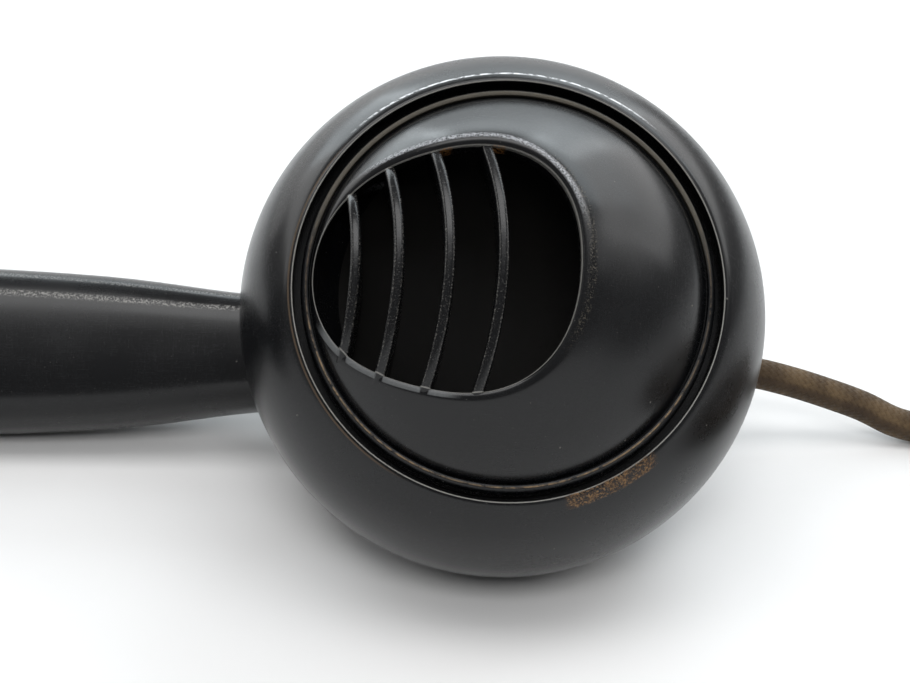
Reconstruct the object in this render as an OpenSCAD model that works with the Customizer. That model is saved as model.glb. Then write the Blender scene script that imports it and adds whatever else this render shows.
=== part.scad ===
// Telephone handset: a moulded body with two screwed caps, a carbon transmitter,
// a magnetic receiver and a braided cord. Millimetres, +Z up, the handset lies on
// its side on the plane Z = 0 with its length along X, mouth end towards +X.
//
// Three frames are used. The transmitter frame has its origin at the centre of the
// transmitter cup's widest circle, X along the handset and Z out of the mouthpiece.
// The receiver frame has its origin in the receiver cup and Z out of the ear cap.
// lying_down() takes the transmitter frame to the table.

/* [Handset] */
// Distance between the centres of the two cups
cup_spacing = 162; // [156:1:170]
// Angle of the mouthpiece's axis above the table, as the handset lies
roll = 41.5; // [39:0.5:44]
// Lean of the receiver's axis towards the mouthpiece
ear_lean = 8; // [4:1:12]
// Thickness of the cups' walls
wall = 4; // [3.5:0.25:4.5]

/* [Transmitter cup] */
// Greatest radius of the transmitter cup
cup_r = 33.25; // [32.5:0.25:34]
// Radius of the rounded shoulder in front of the widest circle
shoulder_r = 20; // [19:0.5:21]
// Radius of the rounded back
back_r = 26; // [25.5:0.25:27]
// Height of the lip above the widest circle
lip_h = 15.2; // [14.8:0.1:15.6]
// Depth of the seat of the mouthpiece below the lip
seat_depth = 4.4; // [4:0.2:5]
// Radius of the bore in which the mouthpiece screws
mouth_thread_r = 23.2; // [22.8:0.1:23.5]
// Width of the open groove round the mouthpiece's flange
groove_w = 0.9; // [0.6:0.1:1.2]
// Depth of the cup's floor below the widest circle
floor_depth = 19; // [18.5:0.25:19.5]

/* [Mouthpiece] */
// Radius of the mouthpiece's flange
flange_r = 24.9; // [24.6:0.1:25.1]
// Thickness of the flange
flange_t = 3.9; // [3.6:0.1:4.1]
// Radius of the sphere that the dome is part of
dome_r = 28; // [27.5:0.25:29]
// Height of the dome's top above the widest circle
dome_top = 28.5; // [28:0.25:29]
// Radius of the dome's foot on the flange
dome_foot_r = 23.5; // [23:0.1:23.7]
// Thickness of the dome
dome_t = 2.4; // [2:0.2:2.8]
// Mean radius of the opening
opening_r = 15.5; // [15:0.1:15.8]
// Distance of the opening's centre from the axis, towards the handle
opening_offset = 8; // [7.6:0.1:8.2]
// Height of the hood that rises round the opening
hood_h = 1.3; // [0.8:0.1:1.8]
// Width over which the hood fades into the dome
hood_fade = 4; // [3:0.5:5]
// Turn of the screwed-in mouthpiece from the handset's centre line
mouth_turn = -2.5; // [-4:0.5:0]
// Thickness of a rib
rib_t = 1.3; // [1.1:0.1:1.6]
// Radius of the ribs' curve
rib_bow = 48; // [44:1:52]
// Depth of the ribs behind the dome's surface
rib_depth = 7; // [6:0.5:8]
// Thickness of the skirt
skirt_t = 2.2; // [2:0.1:2.4]

/* [Transmitter capsule] */
// Height of the capsule's seat above the widest circle
capsule_seat = 1.4; // [1:0.1:1.8]
// Outer radius of the capsule's case
case_r = 21.2; // [20.9:0.1:21.3]
// Depth of the capsule's case below its seat
case_depth = 11.4; // [11:0.2:11.6]
// Thickness of the capsule's metal
case_t = 0.8; // [0.6:0.1:0.9]
// Thickness of the rubber ring on the capsule
gasket_t = 1.6; // [1.4:0.1:1.8]
// Outer radius of the carbon chamber
chamber_r = 6; // [5.6:0.2:6.4]

/* [Terminals] */
// Radius of the terminal block
block_r = 15; // [14.5:0.25:15.5]
// Thickness of the terminal block
block_t = 3; // [2.75:0.25:3.25]
// Distance of the terminal screws from the block's centre
terminal_ring = 10.5; // [10.3:0.1:10.8]
// Thickness of the contact springs
spring_t = 0.4; // [0.3:0.1:0.5]

/* [Receiver cup] */
// Greatest radius of the receiver cup
ear_r = 30; // [29.5:0.25:31]
// Radius of the receiver cup's rounded back
ear_back_r = 23; // [22.5:0.25:24]
// Height of the receiver cup's rim above its widest circle
ear_rim = 5; // [4.6:0.2:5.4]
// Width of the cup's flat rim, outside the bore in which the ear cap screws
ear_rim_w = 5; // [4.7:0.1:5.3]
// Depth of the receiver cup's floor below its widest circle
ear_floor = 15; // [14.8:0.1:15.4]

/* [Ear cap] */
// Height of the ear cap above the cup's rim
cap_h = 8.4; // [8:0.2:9]
// Radius of the ear cap's raised rim
cap_crest_r = 22.5; // [21.5:0.5:23]
// Radius of the hollow for the ear
dish_r = 80; // [70:5:100]
// Thickness of the ear cap
cap_t = 2.4; // [2:0.2:2.8]
// Radius of a sound hole
sound_hole_r = 1.6; // [1.2:0.1:1.9]

/* [Receiver] */
// Clearance between the receiver's case and the cup's rounded wall
ear_case_gap = 0.85; // [0.7:0.05:1.2]
// Length of the magnet
magnet_l = 28; // [26:0.5:29]
// Width of the magnet
magnet_w = 9; // [8.4:0.2:9.4]
// Distance of a pole's inner face from the receiver's axis
pole_gap = 4; // [3.8:0.1:4.4]

/* [Handle] */
// Half width of the handle at its middle
grip_hw = 11.8; // [11.3:0.1:12.8]
// Half depth of the handle at its middle
grip_hd = 9.5; // [9:0.1:10]
// Squareness of the handle's front: 2 is an ellipse, more is squarer
grip_power = 3; // [2.4:0.1:4]
// Half width of the handle where it meets a cup
neck_hw = 8.15; // [7.95:0.05:8.75]
// Half depth of the handle where it meets a cup
neck_hd = 8.4; // [8:0.1:8.8]
// Radius of the wire passage
passage_r = 3; // [2.6:0.1:3.2]

/* [Cord] */
// Diameter of the cord
cord_d = 4.4; // [4.2:0.1:4.6]
// Distance of the cord neck's end inside the transmitter cup's greatest radius
neck_inset = 9.25; // [8:0.25:10.5]
// Radius of the cord neck's end
neck_r = 5.2; // [5:0.1:5.6]
// Length of the bush outside the neck
bush_out = 4; // [3.5:0.25:4.5]
// Radius of a coil's turn at the outside of the coil
coil_r = 33; // [32:0.5:34]
// Distance from turn to turn in the coil
coil_pitch = 4.95; // [4.9:0.05:5.1]
// Radius of a tag's hole
tag_hole_r = 2.1; // [1.9:0.1:2.2]

/* [Hidden] */
$fn = 96;

// Running clearance of a screwed skirt in its bore
thread_gap = 0.08;
// Clearance between pieces that only lie in a bore
loose = 0.3;
// Clearance round a screw's shank
screw_gap = 0.05;
// Running clearance between a cap and the washer that it turns on
washer_gap = 0.05;
// A cut reaches this far past the face that it opens
cut = 1;

// Transmitter frame: levels along the mouthpiece's axis
core_r = cup_r - back_r;
mouth_r = flange_r + groove_w;
ledge = lip_h - seat_depth;
washer_t = 0.75;
flange_under = ledge + washer_t + washer_gap;
flange_top = flange_under + flange_t;
rim_top = capsule_seat + case_t;
gasket_top = rim_top + gasket_t;
skirt_end = gasket_top + 0.1;
skirt_r = mouth_thread_r - thread_gap;
skirt_in_r = skirt_r - skirt_t;
chamber_bore_r = case_r + loose;
rim_r = mouth_thread_r - loose;
case_in_r = case_r - case_t;
case_floor = capsule_seat - case_depth;
case_in_floor = case_floor + case_t;
block_top = -floor_depth + block_t;
plate_t = 0.6;

// Diaphragm and electrodes
diaphragm_t = 0.3;
diaphragm_seat = -0.9;
diaphragm_drop = 2;
seat_ring_r = case_in_r - 0.1;
seat_ring_in_r = seat_ring_r - 1.7;
electrode_r = chamber_r - 2;
electrode_top = diaphragm_seat - diaphragm_drop;
chamber_in_r = chamber_r - 1.4;
chamber_floor = case_in_floor + 1;
back_plate_t = 1;
grain_floor = chamber_floor + back_plate_t;
grain_top = electrode_top - 2.1;
stud_r = 1.5;
stud_hole_r = 2.4;
stud_end = case_floor - 3.1;
nut_r = 3;
nut_t = 1.6;
insulator_t = 0.6;

// Terminal block
well_r = 4.5;
screw_r = 1.5;
screw_head_r = 2.7;
screw_head_t = 1.6;
screw_depth = 3.6;
terminal_angles = [150, 30, 270];
block_screw_angles = [90, 210];
spring_w = 4;
spring_foot = screw_head_r + 0.2;

// Receiver frame
ear_core_r = ear_r - ear_back_r;
ear_thread_r = ear_r - ear_rim_w;
ear_shoulder_r = 20;
ear_ledge = -5;
ear_case_rim_t = 0.8;
ear_case_t = 1;
ear_case_floor = -ear_floor + 1;
ear_case_in_floor = ear_case_floor + ear_case_t;
ear_case_r = ear_core_r + sqrt(pow(ear_back_r - wall, 2) - pow(ear_case_floor, 2)) - ear_case_gap;
ear_disc_seat = ear_ledge + ear_case_rim_t;
ear_disc_t = 0.3;
ear_skirt_r = ear_thread_r - thread_gap;
ear_skirt_in_r = ear_skirt_r - 2.2;
ear_skirt_end = ear_disc_seat + ear_disc_t + 0.2;
ear_washer_t = 0.75;
cap_under = ear_rim + ear_washer_t + washer_gap;
cap_crest = ear_rim + cap_h;
magnet_t = 3;
magnet_top = ear_case_in_floor + magnet_t;
foot_t = 1.2;
foot_top = magnet_top + foot_t;
pole_t = 1.8;
pole_w = 8;
pole_top = ear_disc_seat - 0.3;
bobbin_wall = 0.5;
bobbin_gap = 0.1;
bobbin_reach = 2.7;
bobbin_top = pole_top - 0.4;
ear_well_y = 5;
ear_well_r = 3.2;
ear_well_depth = 4.5;
ear_wire_hole_y = 0.39 * ear_case_r;
ear_wire_hole_r = 2;
magnet_screw_x = magnet_l / 2 - 3;
magnet_screw_r = 1.2;
ear_plate_t = 1.2;
ear_screw_r = 1;
ear_screw_head_r = 1.9;
ear_screw_x = 3.4;
ear_screw_y = 0.663 * ear_case_r;

// Placing on the table: the transmitter cup, the receiver cup and the back edge
// of the handle all touch the plane Z = 0
rest_h = back_r + core_r * cos(roll);
ear_slope = sin(roll) * cos(ear_lean);
ear_reach = ear_back_r + ear_core_r * sqrt(1 - ear_slope * ear_slope);
ear_drop = (rest_h - ear_reach) / sin(roll);
grip_reach = max([for (p = grip_section(grip_hw, grip_hd)) -p[0] * cos(roll) - p[1] * sin(roll)]);
grip_depth = (rest_h - grip_reach) / sin(roll);
grip_back = max([for (p = grip_section(grip_hw, grip_hd)) p[0] * sin(roll) - p[1] * cos(roll)]);
cup_front = shoulder_r + (cup_r - shoulder_r) * sin(roll);
place_x = (cup_spacing + ear_back_r + ear_core_r * cos(ear_lean) - cup_r) / 2;
place_y = (cup_front - grip_depth * cos(roll) - grip_back) / 2;

// Cord neck: it points along the handset and a little away from the mouthpiece
neck_tilt = 5.3;
neck_root = [0, 0, -25];
neck_root_r = 6.4;
neck_end = cup_r - neck_inset;
bush_end = neck_end + bush_out;
bush_seat = 6;
bush_seat_r = neck_r - 1.2;
cord_bore_r = cord_d / 2 + 0.6;

// Handle: distance of a cup's centre from the handle's first full section, and
// stations of [distance from the cup's centre, depth, half width, half depth]
// on the handle's side of each cup, with the end stations beyond the centre
cup_edge = cup_r;
grip_steps = 4;
mid_share = 0.28;
grip_mid = -cup_spacing / 2;
grip_stations = concat(
    [for (s = [[6, 22, 5, 4], [0, 25, 6.4, 5.6], [-13, 26.6, 7.7, 7.2]])
        [-cup_spacing - s[0], s[1], s[2], s[3]]],
    [[-cup_spacing + cup_edge, grip_depth - 1.6, neck_hw, neck_hd],
     [grip_mid - mid_share * (cup_spacing - 2 * cup_edge), grip_depth - 0.4,
        grip_hw - 1.1, grip_hd - 0.3],
     [grip_mid, grip_depth, grip_hw, grip_hd],
     [grip_mid + mid_share * (cup_spacing - 2 * cup_edge), grip_depth - 0.4,
        grip_hw - 1.1, grip_hd - 0.3],
     [-cup_edge, grip_depth - 1.8, neck_hw, neck_hd]],
    [[-17, 26.8, 7.7, 7.2], [0, 25.4, 6.8, 6.2], [14, 26.2, 5.8, 5.6]]
);

// Sound holes of the ear cap: one in the middle and a ring of six
sound_ring_r = 6;
sound_holes = 6;

// Route of the free cord on the table, after the bush
cord_r = cord_d / 2;
coil_centre = [174, -16];
coil_turns = 3.25;
coil_layers = [cord_r, cord_r + 4.9];
coil_rings = 24;
lead_points = [
    [115, 18.4, 11.3], [118, 18.7, 10.6], [123, 19.1, 9], [128, 19.1, 7.3],
    [133, 19.1, 5.35], [138, 18.5, 3.1], [143, 17.9, 2.35], [150, 17.4, 2.2], [158, 17.1, 2.2]
];
tail_points = [
    [186, 17, 6.8], [194, 16.6, 5], [202, 15.4, 3.4], [210, 13, 2.7], [218, 9, 2.7],
    [225, 4, 2.7]
];
binding_start = [230, 0, 2.7];
binding_turn = -40;
binding_l = 12;
binding_r = 2.6;
conductor_r = 0.75;
conductor_pitch = 1.65;
conductor_spread = 22;
conductor_l = 24;
tag_t = 0.6;
tag_r = 3.6;
barrel_r = 1.3;
barrel_l = 5;

// ---------------------------------------------------------------- functions

function unit(v) = v / norm(v);

// Point at share t of the stretch from row i to row i + 1 of a list, on a smooth
// curve through all rows
function smooth_at(rows, i, t) =
    let (n = len(rows) - 1,
         a = rows[max(i - 1, 0)], b = rows[i], c = rows[min(i + 1, n)], d = rows[min(i + 2, n)])
    0.5 * ((2 * b) + (c - a) * t + (2 * a - 5 * b + 4 * c - d) * t * t
        + (3 * b - a - 3 * c + d) * t * t * t);

function smooth_rows(rows, steps) = concat(
    [for (i = [0 : len(rows) - 2]) for (k = [0 : steps - 1]) smooth_at(rows, i, k / steps)],
    [rows[len(rows) - 1]]);

// Outline of the handle across its length: a squared front with soft edges, and
// a round back
function grip_section(hw, hd) =
    let (share = 2 / grip_power)
    concat(
        [for (a = [0 : 12 : 180])
            [hw * sign(cos(a)) * pow(abs(cos(a)), share), hd * pow(sin(a), share)]],
        [for (a = [195 : 15 : 345]) [hw * cos(a), hd * sin(a)]]);

// Radius of the mouthpiece's opening in the direction a from its centre
function opening_at(a) =
    opening_r + 0.86 * cos(a) + 0.55 * cos(2 * a) - 0.56 * cos(3 * a) - 0.29 * cos(4 * a);

// Height of the dome's outer surface at a distance r from the axis
dome_mid = dome_top - dome_r;
function dome_z(r, sphere_r) = dome_mid + sqrt(max(sphere_r * sphere_r - r * r, 0));

// Rise of the hood at a distance d outside the opening, in the direction a
function hood_z(d, a) =
    let (side = 0.5 + 0.5 * cos(a - 25)) hood_h * side * side * exp(-pow(d / hood_fade, 2));

// Receiver frame's point in the transmitter frame
function from_ear(p) = [
    -cup_spacing + p[0] * cos(ear_lean) + p[2] * sin(ear_lean),
    p[1],
    -ear_drop - p[0] * sin(ear_lean) + p[2] * cos(ear_lean)];

// Transmitter frame's point on the table
function on_table(p) = [
    p[0] + place_x,
    p[1] * sin(roll) - p[2] * cos(roll) + place_y,
    p[1] * cos(roll) + p[2] * sin(roll) + rest_h];

// Point on the cord neck's axis at a distance s from its root
function on_neck(s) = neck_root + s * [cos(neck_tilt), 0, -sin(neck_tilt)];

// Rings of a tube through a list of points
function tube_rings(pts, r, sides) = [
    for (i = [0 : len(pts) - 1])
        let (along = unit(pts[min(i + 1, len(pts) - 1)] - pts[max(i - 1, 0)]),
             level = abs(along[2]) > 0.99 ? [1, 0, 0] : [0, 0, 1],
             side = unit(cross(level, along)), over = cross(along, side))
        for (k = [0 : sides - 1])
            pts[i] + r * (cos(360 * (k + 0.5) / sides) * side + sin(360 * (k + 0.5) / sides) * over)];

// Least distance between stretches of a route that lie more than one turn apart
function least_gap(pts, skip, d) = min([
    for (i = [0 : len(pts) - 1]) for (j = [i + skip : 1 : len(pts) - 1])
        norm(pts[i] - pts[j])]) - d;

// Coil: clockwise from its outer turn inwards on the table, up a layer in half a
// turn, and outwards again
coil_in = coil_turns * 360;
coil_all = 2 * coil_in + 180;
function coil_at(a) =
    let (inward = min(a, coil_in + 90), outward = max(a - coil_in - 90, 0),
         climb = min(max((a - coil_in) / 180, 0), 1),
         r = coil_r - coil_pitch * (inward - outward) / 360,
         dir = 90 - a)
    [coil_centre[0] + r * cos(dir), coil_centre[1] + r * sin(dir),
     coil_layers[0] + (coil_layers[1] - coil_layers[0]) * climb];
coil_core = [for (k = [0 : coil_all / 360 * coil_rings]) coil_at(k * 360 / coil_rings)];
coil_start = coil_at(0) - [cord_d, 0, 0];
coil_end = coil_at(coil_all) + [cord_d, 0, 0];
coil_path = concat([coil_start], coil_core, [coil_end]);

// ------------------------------------------------------------------ modules

module lying_down() {
    translate([place_x, place_y, rest_h]) rotate([90 - roll, 0, 0]) children();
}

module at_receiver() {
    translate([-cup_spacing, 0, -ear_drop]) rotate([0, ear_lean, 0]) children();
}

module disc(r, z0, z1) {
    translate([0, 0, z0]) cylinder(r = r, h = z1 - z0);
}

module ring(r, hole, z0, z1) {
    difference() {
        disc(r, z0, z1);
        disc(hole, z0 - cut, z1 + cut);
    }
}

module tube(pts, r, sides) {
    n = len(pts);
    polyhedron(
        points = tube_rings(pts, r, sides),
        faces = concat(
            [for (i = [0 : n - 2]) for (k = [0 : sides - 1])
                let (a = i * sides + k, b = i * sides + (k + 1) % sides)
                for (f = [[a, a + sides, b], [b, a + sides, b + sides]]) f],
            [[for (k = [0 : sides - 1]) k]],
            [[for (k = [sides - 1 : -1 : 0]) (n - 1) * sides + k]]));
}

// Solid of revolution with a rounded back and a rounded shoulder, up to a height
module cup_solid(r, shoulder, back, top) {
    rotate_extrude() {
        intersection() {
            union() {
                translate([r - back, 0]) circle(r = back);
                translate([0, -back]) square([r - back, back]);
            }
            translate([0, -back]) square([r, back]);
        }
        intersection() {
            union() {
                translate([r - shoulder, 0]) circle(r = shoulder);
                square([r - shoulder, top]);
            }
            square([r, top]);
        }
    }
}

// Hollow of a cup below its seat: a bore with a rounded bottom, cut off at the floor
module cup_hollow(r, bore, back, floor_z, top) {
    rotate_extrude() intersection() {
        union() {
            translate([r - back, 0]) circle(r = back - wall);
            translate([0, -back]) square([r - back, back + top]);
            square([bore, top]);
        }
        translate([0, floor_z]) square([bore, top - floor_z]);
    }
}

module grip() {
    rows = smooth_rows(grip_stations, grip_steps);
    outline = len(grip_section(1, 1));
    n = len(rows);
    polyhedron(
        points = [for (s = rows) for (p = grip_section(s[2], s[3])) [s[0], p[0], p[1] - s[1]]],
        faces = concat(
            [for (i = [0 : n - 2]) for (k = [0 : outline - 1])
                let (a = i * outline + k, b = i * outline + (k + 1) % outline)
                for (f = [[a, a + outline, b], [b, a + outline, b + outline]]) f],
            [[for (k = [0 : outline - 1]) k]],
            [[for (k = [outline - 1 : -1 : 0]) (n - 1) * outline + k]]));
}

// Straight round bar or bore from one point to another
module bar(p, q, r) {
    v = q - p;
    translate(p)
        rotate([0, acos(v[2] / norm(v)), atan2(v[1], v[0])])
            cylinder(r = r, h = norm(v));
}

module along_neck() {
    translate(neck_root) rotate([0, 90 + neck_tilt, 0]) children();
}

// Wire passage: two bores that cross in the middle of the handle, from the well
// under the terminal block to the well in the receiver cup's floor
passage_mid = [grip_mid, 0, -grip_depth];
passage_mouth_end = neck_root + [2.4, 0, 0];
passage_ear_end = from_ear([0, 0, -ear_floor - ear_well_depth]);
passage_past_mid = [7, 0, -0.4];

module handset_body() color("#101114") lying_down() difference() {
    union() {
        cup_solid(cup_r, shoulder_r, back_r, lip_h);
        at_receiver() cup_solid(ear_r, ear_shoulder_r, ear_back_r, ear_rim);
        grip();
        along_neck() cylinder(r1 = neck_root_r, r2 = neck_r, h = neck_end);
    }
    disc(mouth_r, ledge, lip_h + cut);
    disc(mouth_thread_r, capsule_seat, ledge + cut);
    cup_hollow(cup_r, chamber_bore_r, back_r, -floor_depth, capsule_seat + cut);
    disc(well_r, neck_root[2] - 0.7, cut - floor_depth);
    bar(passage_mouth_end, passage_mid, passage_r);
    bar(passage_ear_end, passage_mid + passage_past_mid, passage_r - 0.25);
    along_neck() cylinder(r = cord_bore_r, h = neck_end + cut);
    along_neck() translate([0, 0, neck_end - bush_seat])
        cylinder(r = bush_seat_r, h = bush_seat + cut);
    for (a = block_screw_angles) rotate(a) translate([terminal_ring, 0, -floor_depth - screw_depth])
        cylinder(r = screw_r + screw_gap, h = screw_depth + cut);
    at_receiver() {
        disc(ear_thread_r, ear_ledge, ear_rim + cut);
        cup_hollow(ear_r, ear_thread_r - 1, ear_back_r, -ear_floor, ear_ledge + cut);
        translate([0, ear_well_y, 0]) disc(ear_well_r, -ear_floor - ear_well_depth, cut - ear_floor);
    }
}

// Dome of the mouthpiece as one closed skin, laid out round the opening
dome_dirs = 60;
dome_rings = 9;
opening_c = [-opening_offset, 0.2];

// Distance from the opening's centre to the dome's foot, in the direction a
function foot_at(a) =
    let (c = opening_c, dot = c[0] * cos(a) + c[1] * sin(a))
    -dot + sqrt(dot * dot + dome_foot_r * dome_foot_r - c * c);

function dome_point(a, t, outer) =
    let (r0 = opening_at(a), d = (foot_at(a) - r0) * t,
         p = opening_c + (r0 + d) * [cos(a), sin(a)], r = norm(p))
    outer ? [p[0], p[1], dome_z(r, dome_r) + hood_z(d, a)]
          : [p[0], p[1], max(dome_z(r, dome_r - dome_t), flange_under + 1)];

module dome_skin() {
    m = dome_rings;
    loop = 2 * m;
    polyhedron(
        points = [for (i = [0 : dome_dirs - 1]) let (a = 360 * i / dome_dirs)
            each concat([for (k = [0 : m - 1]) dome_point(a, pow(k / (m - 1), 1.4), true)],
                        [for (k = [m - 1 : -1 : 0]) dome_point(a, pow(k / (m - 1), 1.4), false)])],
        faces = [for (i = [0 : dome_dirs - 1]) for (k = [0 : loop - 1])
            let (j = (i + 1) % dome_dirs, l = (k + 1) % loop,
                 a = i * loop + k, b = j * loop + k, c = j * loop + l, d = i * loop + l)
            for (f = [[a, b, c], [a, c, d]]) f]);
}

// Middle of each rib, from the opening's end next to the handle
rib_places = [5, 10.1, 15.9, 22];
opening_start = opening_c[0] - opening_at(180);

module ribs() {
    intersection() {
        for (x = rib_places) translate([opening_start + x - rib_bow, 0, 0])
            ring(rib_bow + rib_t / 2, rib_bow - rib_t / 2, 0, dome_top);
        linear_extrude(height = dome_top) polygon([for (a = [0 : 6 : 354])
            opening_c + (opening_at(a) + 1) * [cos(a), sin(a)]]);
        translate([0, 0, dome_mid]) difference() {
            sphere(r = dome_r - 0.5);
            sphere(r = dome_r - rib_depth);
        }
        disc(skirt_in_r - 1.3, flange_under - 1, dome_top);
    }
}

module flange_and_skirt() {
    bead = 0.45;
    difference() {
        union() {
            rotate_extrude() {
                square([skirt_r, flange_under]);
                translate([0, flange_under]) square([flange_r, flange_t - bead]);
                translate([flange_r - 2 * bead, flange_under]) square([bead, flange_t]);
                translate([flange_r - bead, flange_top - bead]) circle(r = bead, $fn = 24);
            }
        }
        disc(skirt_in_r, -cut, flange_under - 2.3);
        disc(skirt_in_r - 1.3, -cut, flange_top + cut);
        disc(skirt_r + cut, -2 * cut, skirt_end);
    }
}

module mouthpiece() color("#131417") lying_down() rotate(mouth_turn) {
    dome_skin();
    flange_and_skirt();
    ribs();
}

module mouthpiece_washer() color("#2a2622") lying_down()
    ring(flange_r - 0.1, mouth_thread_r, ledge, ledge + washer_t);

membrane_top = flange_under - 2.3;
membrane_t = 0.3;
module moisture_membrane() color("#17150f") lying_down()
    disc(skirt_in_r - 0.1, membrane_top - membrane_t, membrane_top);

module membrane_ring() color("#8a7a4a") lying_down()
    ring(skirt_in_r - 0.02, skirt_in_r - 2.1,
         membrane_top - membrane_t - 1.5, membrane_top - membrane_t);

module capsule_gasket() color("#26241f") lying_down()
    ring(rim_r - 0.1, case_r + 0.7, rim_top, gasket_top);

module capsule_front_plate() color("#9a9c9e") lying_down() difference() {
    disc(case_r + 0.5, rim_top, rim_top + plate_t);
    for (row = [[0, 1], [6, 6], [12, 12]]) for (k = [0 : row[1] - 1])
        rotate(360 * k / row[1]) translate([row[0], 0, rim_top - cut])
            cylinder(r = 1, h = plate_t + 2 * cut, $fn = 24);
}

module capsule_case() color("#a9abad") lying_down() difference() {
    union() {
        disc(case_r, case_floor, rim_top);
        disc(rim_r, capsule_seat, rim_top);
    }
    disc(case_in_r, case_in_floor, rim_top + cut);
    disc(stud_hole_r, case_floor - cut, case_in_floor + cut);
}

module diaphragm_spacer() color("#8c8e90") lying_down()
    ring(seat_ring_r, seat_ring_in_r, case_in_floor, diaphragm_seat);

module transmitter_diaphragm() color("#c4c6c8") lying_down() rotate_extrude() polygon([
    [0, electrode_top], [electrode_r - 0.5, electrode_top], [seat_ring_in_r - 0.4, diaphragm_seat],
    [seat_ring_r, diaphragm_seat], [seat_ring_r, diaphragm_seat + diaphragm_t],
    [seat_ring_in_r - 0.4, diaphragm_seat + diaphragm_t],
    [electrode_r - 0.5, electrode_top + diaphragm_t], [0, electrode_top + diaphragm_t]]);

module diaphragm_clamp_ring() color("#8c8e90") lying_down()
    ring(seat_ring_r, seat_ring_in_r, diaphragm_seat + diaphragm_t, rim_top);

module moving_electrode() color("#b8963c") lying_down() {
    disc(electrode_r, grain_top, electrode_top - 0.4);
    disc(electrode_r - 0.6, electrode_top - 0.4, electrode_top);
}

module carbon_granules() color("#0b0b0c") lying_down()
    disc(chamber_in_r - 0.1, grain_floor, grain_top);

module carbon_chamber() color("#b8963c") lying_down() difference() {
    disc(chamber_r, case_in_floor, electrode_top - 0.7);
    disc(chamber_in_r, chamber_floor, electrode_top);
    disc(stud_r + 0.05, case_in_floor - cut, chamber_floor + cut);
}

module back_electrode() color("#c8a64c") lying_down() {
    disc(chamber_in_r - 0.1, chamber_floor, grain_floor);
    disc(stud_r, stud_end, chamber_floor + 0.1);
}

module insulating_washer() color("#6b2f1c") lying_down()
    ring(4.6, stud_r + 0.05, case_floor - insulator_t, case_floor);

module electrode_nut() color("#b8963c") lying_down() difference() {
    translate([0, 0, case_floor - insulator_t - nut_t]) cylinder(r = nut_r, h = nut_t, $fn = 6);
    disc(stud_r + 0.05, case_floor - insulator_t - nut_t - cut, case_floor);
}

// Leaf spring through points of [distance from the axis, height], with a screw hole
module leaf_spring(line) {
    n = len(line) - 1;
    difference() {
        translate([0, spring_w / 2, 0]) rotate([90, 0, 0]) linear_extrude(height = spring_w)
            polygon(concat(line, [for (i = [n : -1 : 0]) line[i] + [0, spring_t]]));
        translate([terminal_ring, 0, block_top - cut]) cylinder(r = screw_r + 0.1, h = 2 * cut + spring_t);
    }
}

module centre_contact_spring() color("#caa64a") lying_down() rotate(terminal_angles[0])
    leaf_spring([[-1.6, stud_end - spring_t], [4, stud_end - spring_t],
                 [terminal_ring - spring_foot, block_top], [terminal_ring + spring_foot, block_top]]);

module rim_contact_spring() color("#caa64a") lying_down() rotate(terminal_angles[1])
    leaf_spring([[terminal_ring - spring_foot, block_top], [terminal_ring + spring_foot, block_top],
                 [block_r, case_floor - spring_t], [block_r + 2.4, case_floor - spring_t]]);

module terminal_block() color("#3a1d14") lying_down() difference() {
    disc(block_r, -floor_depth, block_top);
    disc(well_r, -floor_depth - cut, block_top + cut);
    for (a = concat(terminal_angles, block_screw_angles)) rotate(a)
        translate([terminal_ring, 0, -floor_depth - cut])
            cylinder(r = screw_r + screw_gap, h = block_t + 2 * cut);
}

// Cheese-head screw with a slot, its head resting at a height
module slotted_screw(seat, head_r, shank_r, shank_l) {
    difference() {
        union() {
            disc(head_r, seat, seat + screw_head_t);
            disc(shank_r, seat - shank_l, seat + 0.1);
        }
        translate([-head_r - cut, -0.35, seat + screw_head_t * 0.5])
            cube([2 * (head_r + cut), 0.7, screw_head_t]);
    }
}

module terminal_screws() color("#c9a24a") lying_down() for (k = [0 : 2])
    rotate(terminal_angles[k]) translate([terminal_ring, 0, 0])
        slotted_screw(k == 2 ? block_top : block_top + spring_t, screw_head_r, screw_r, block_t - 0.2);

module block_screws() color("#a8a49a") lying_down() for (a = block_screw_angles)
    rotate(a) translate([terminal_ring, 0, 0])
        slotted_screw(block_top, screw_head_r, screw_r, block_t + screw_depth - 0.2);

wire_r = 0.5;
wire_sides = 6;
entry_start = 6.5;

// Point over the terminal block at a distance r from its axis
function over_block(r, a, rise) = [r * cos(a), r * sin(a), block_top + rise];

// Way of a wire from the well to the head of terminal screw k, beside which it ends,
// on the side that turns forwards (1) or backwards (-1) from the screw
tip_off = screw_head_r + wire_r + loose;
wire_edge_turn = 35;
function to_terminal(k, side) =
    let (a = terminal_angles[k], edge = a + side * wire_edge_turn)
    [over_block(well_r - 3 * wire_r, edge, -0.6), over_block(well_r + 2 * wire_r, edge, 1),
     over_block(norm([terminal_ring, tip_off]), a + side * atan(tip_off / terminal_ring), wire_r + 0.1)];

// Ends of the cord's three conductors: from the crimped stop up the well to the screws
module transmitter_wires() color("#5a2a20") lying_down() for (k = [0 : 2]) {
    a = terminal_angles[k];
    from = on_neck(entry_start - 1.1) + [0, 1.1 * sin(a), 0.9 * cos(a)];
    foot = [2.2 + 1.3 * cos(a), 1.7 * sin(a), neck_root[2] + 0.6];
    tube(smooth_rows(concat([from, foot + [0.8, 0, 0.8], foot + [0, 0, 4]],
                            to_terminal(k, k == 2 ? 1 : -1)), 3), wire_r, wire_sides);
}

module cord_entry() color("#6a5238") lying_down() along_neck()
    translate([0, 0, entry_start]) cylinder(r = cord_r, h = bush_end - entry_start);

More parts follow.
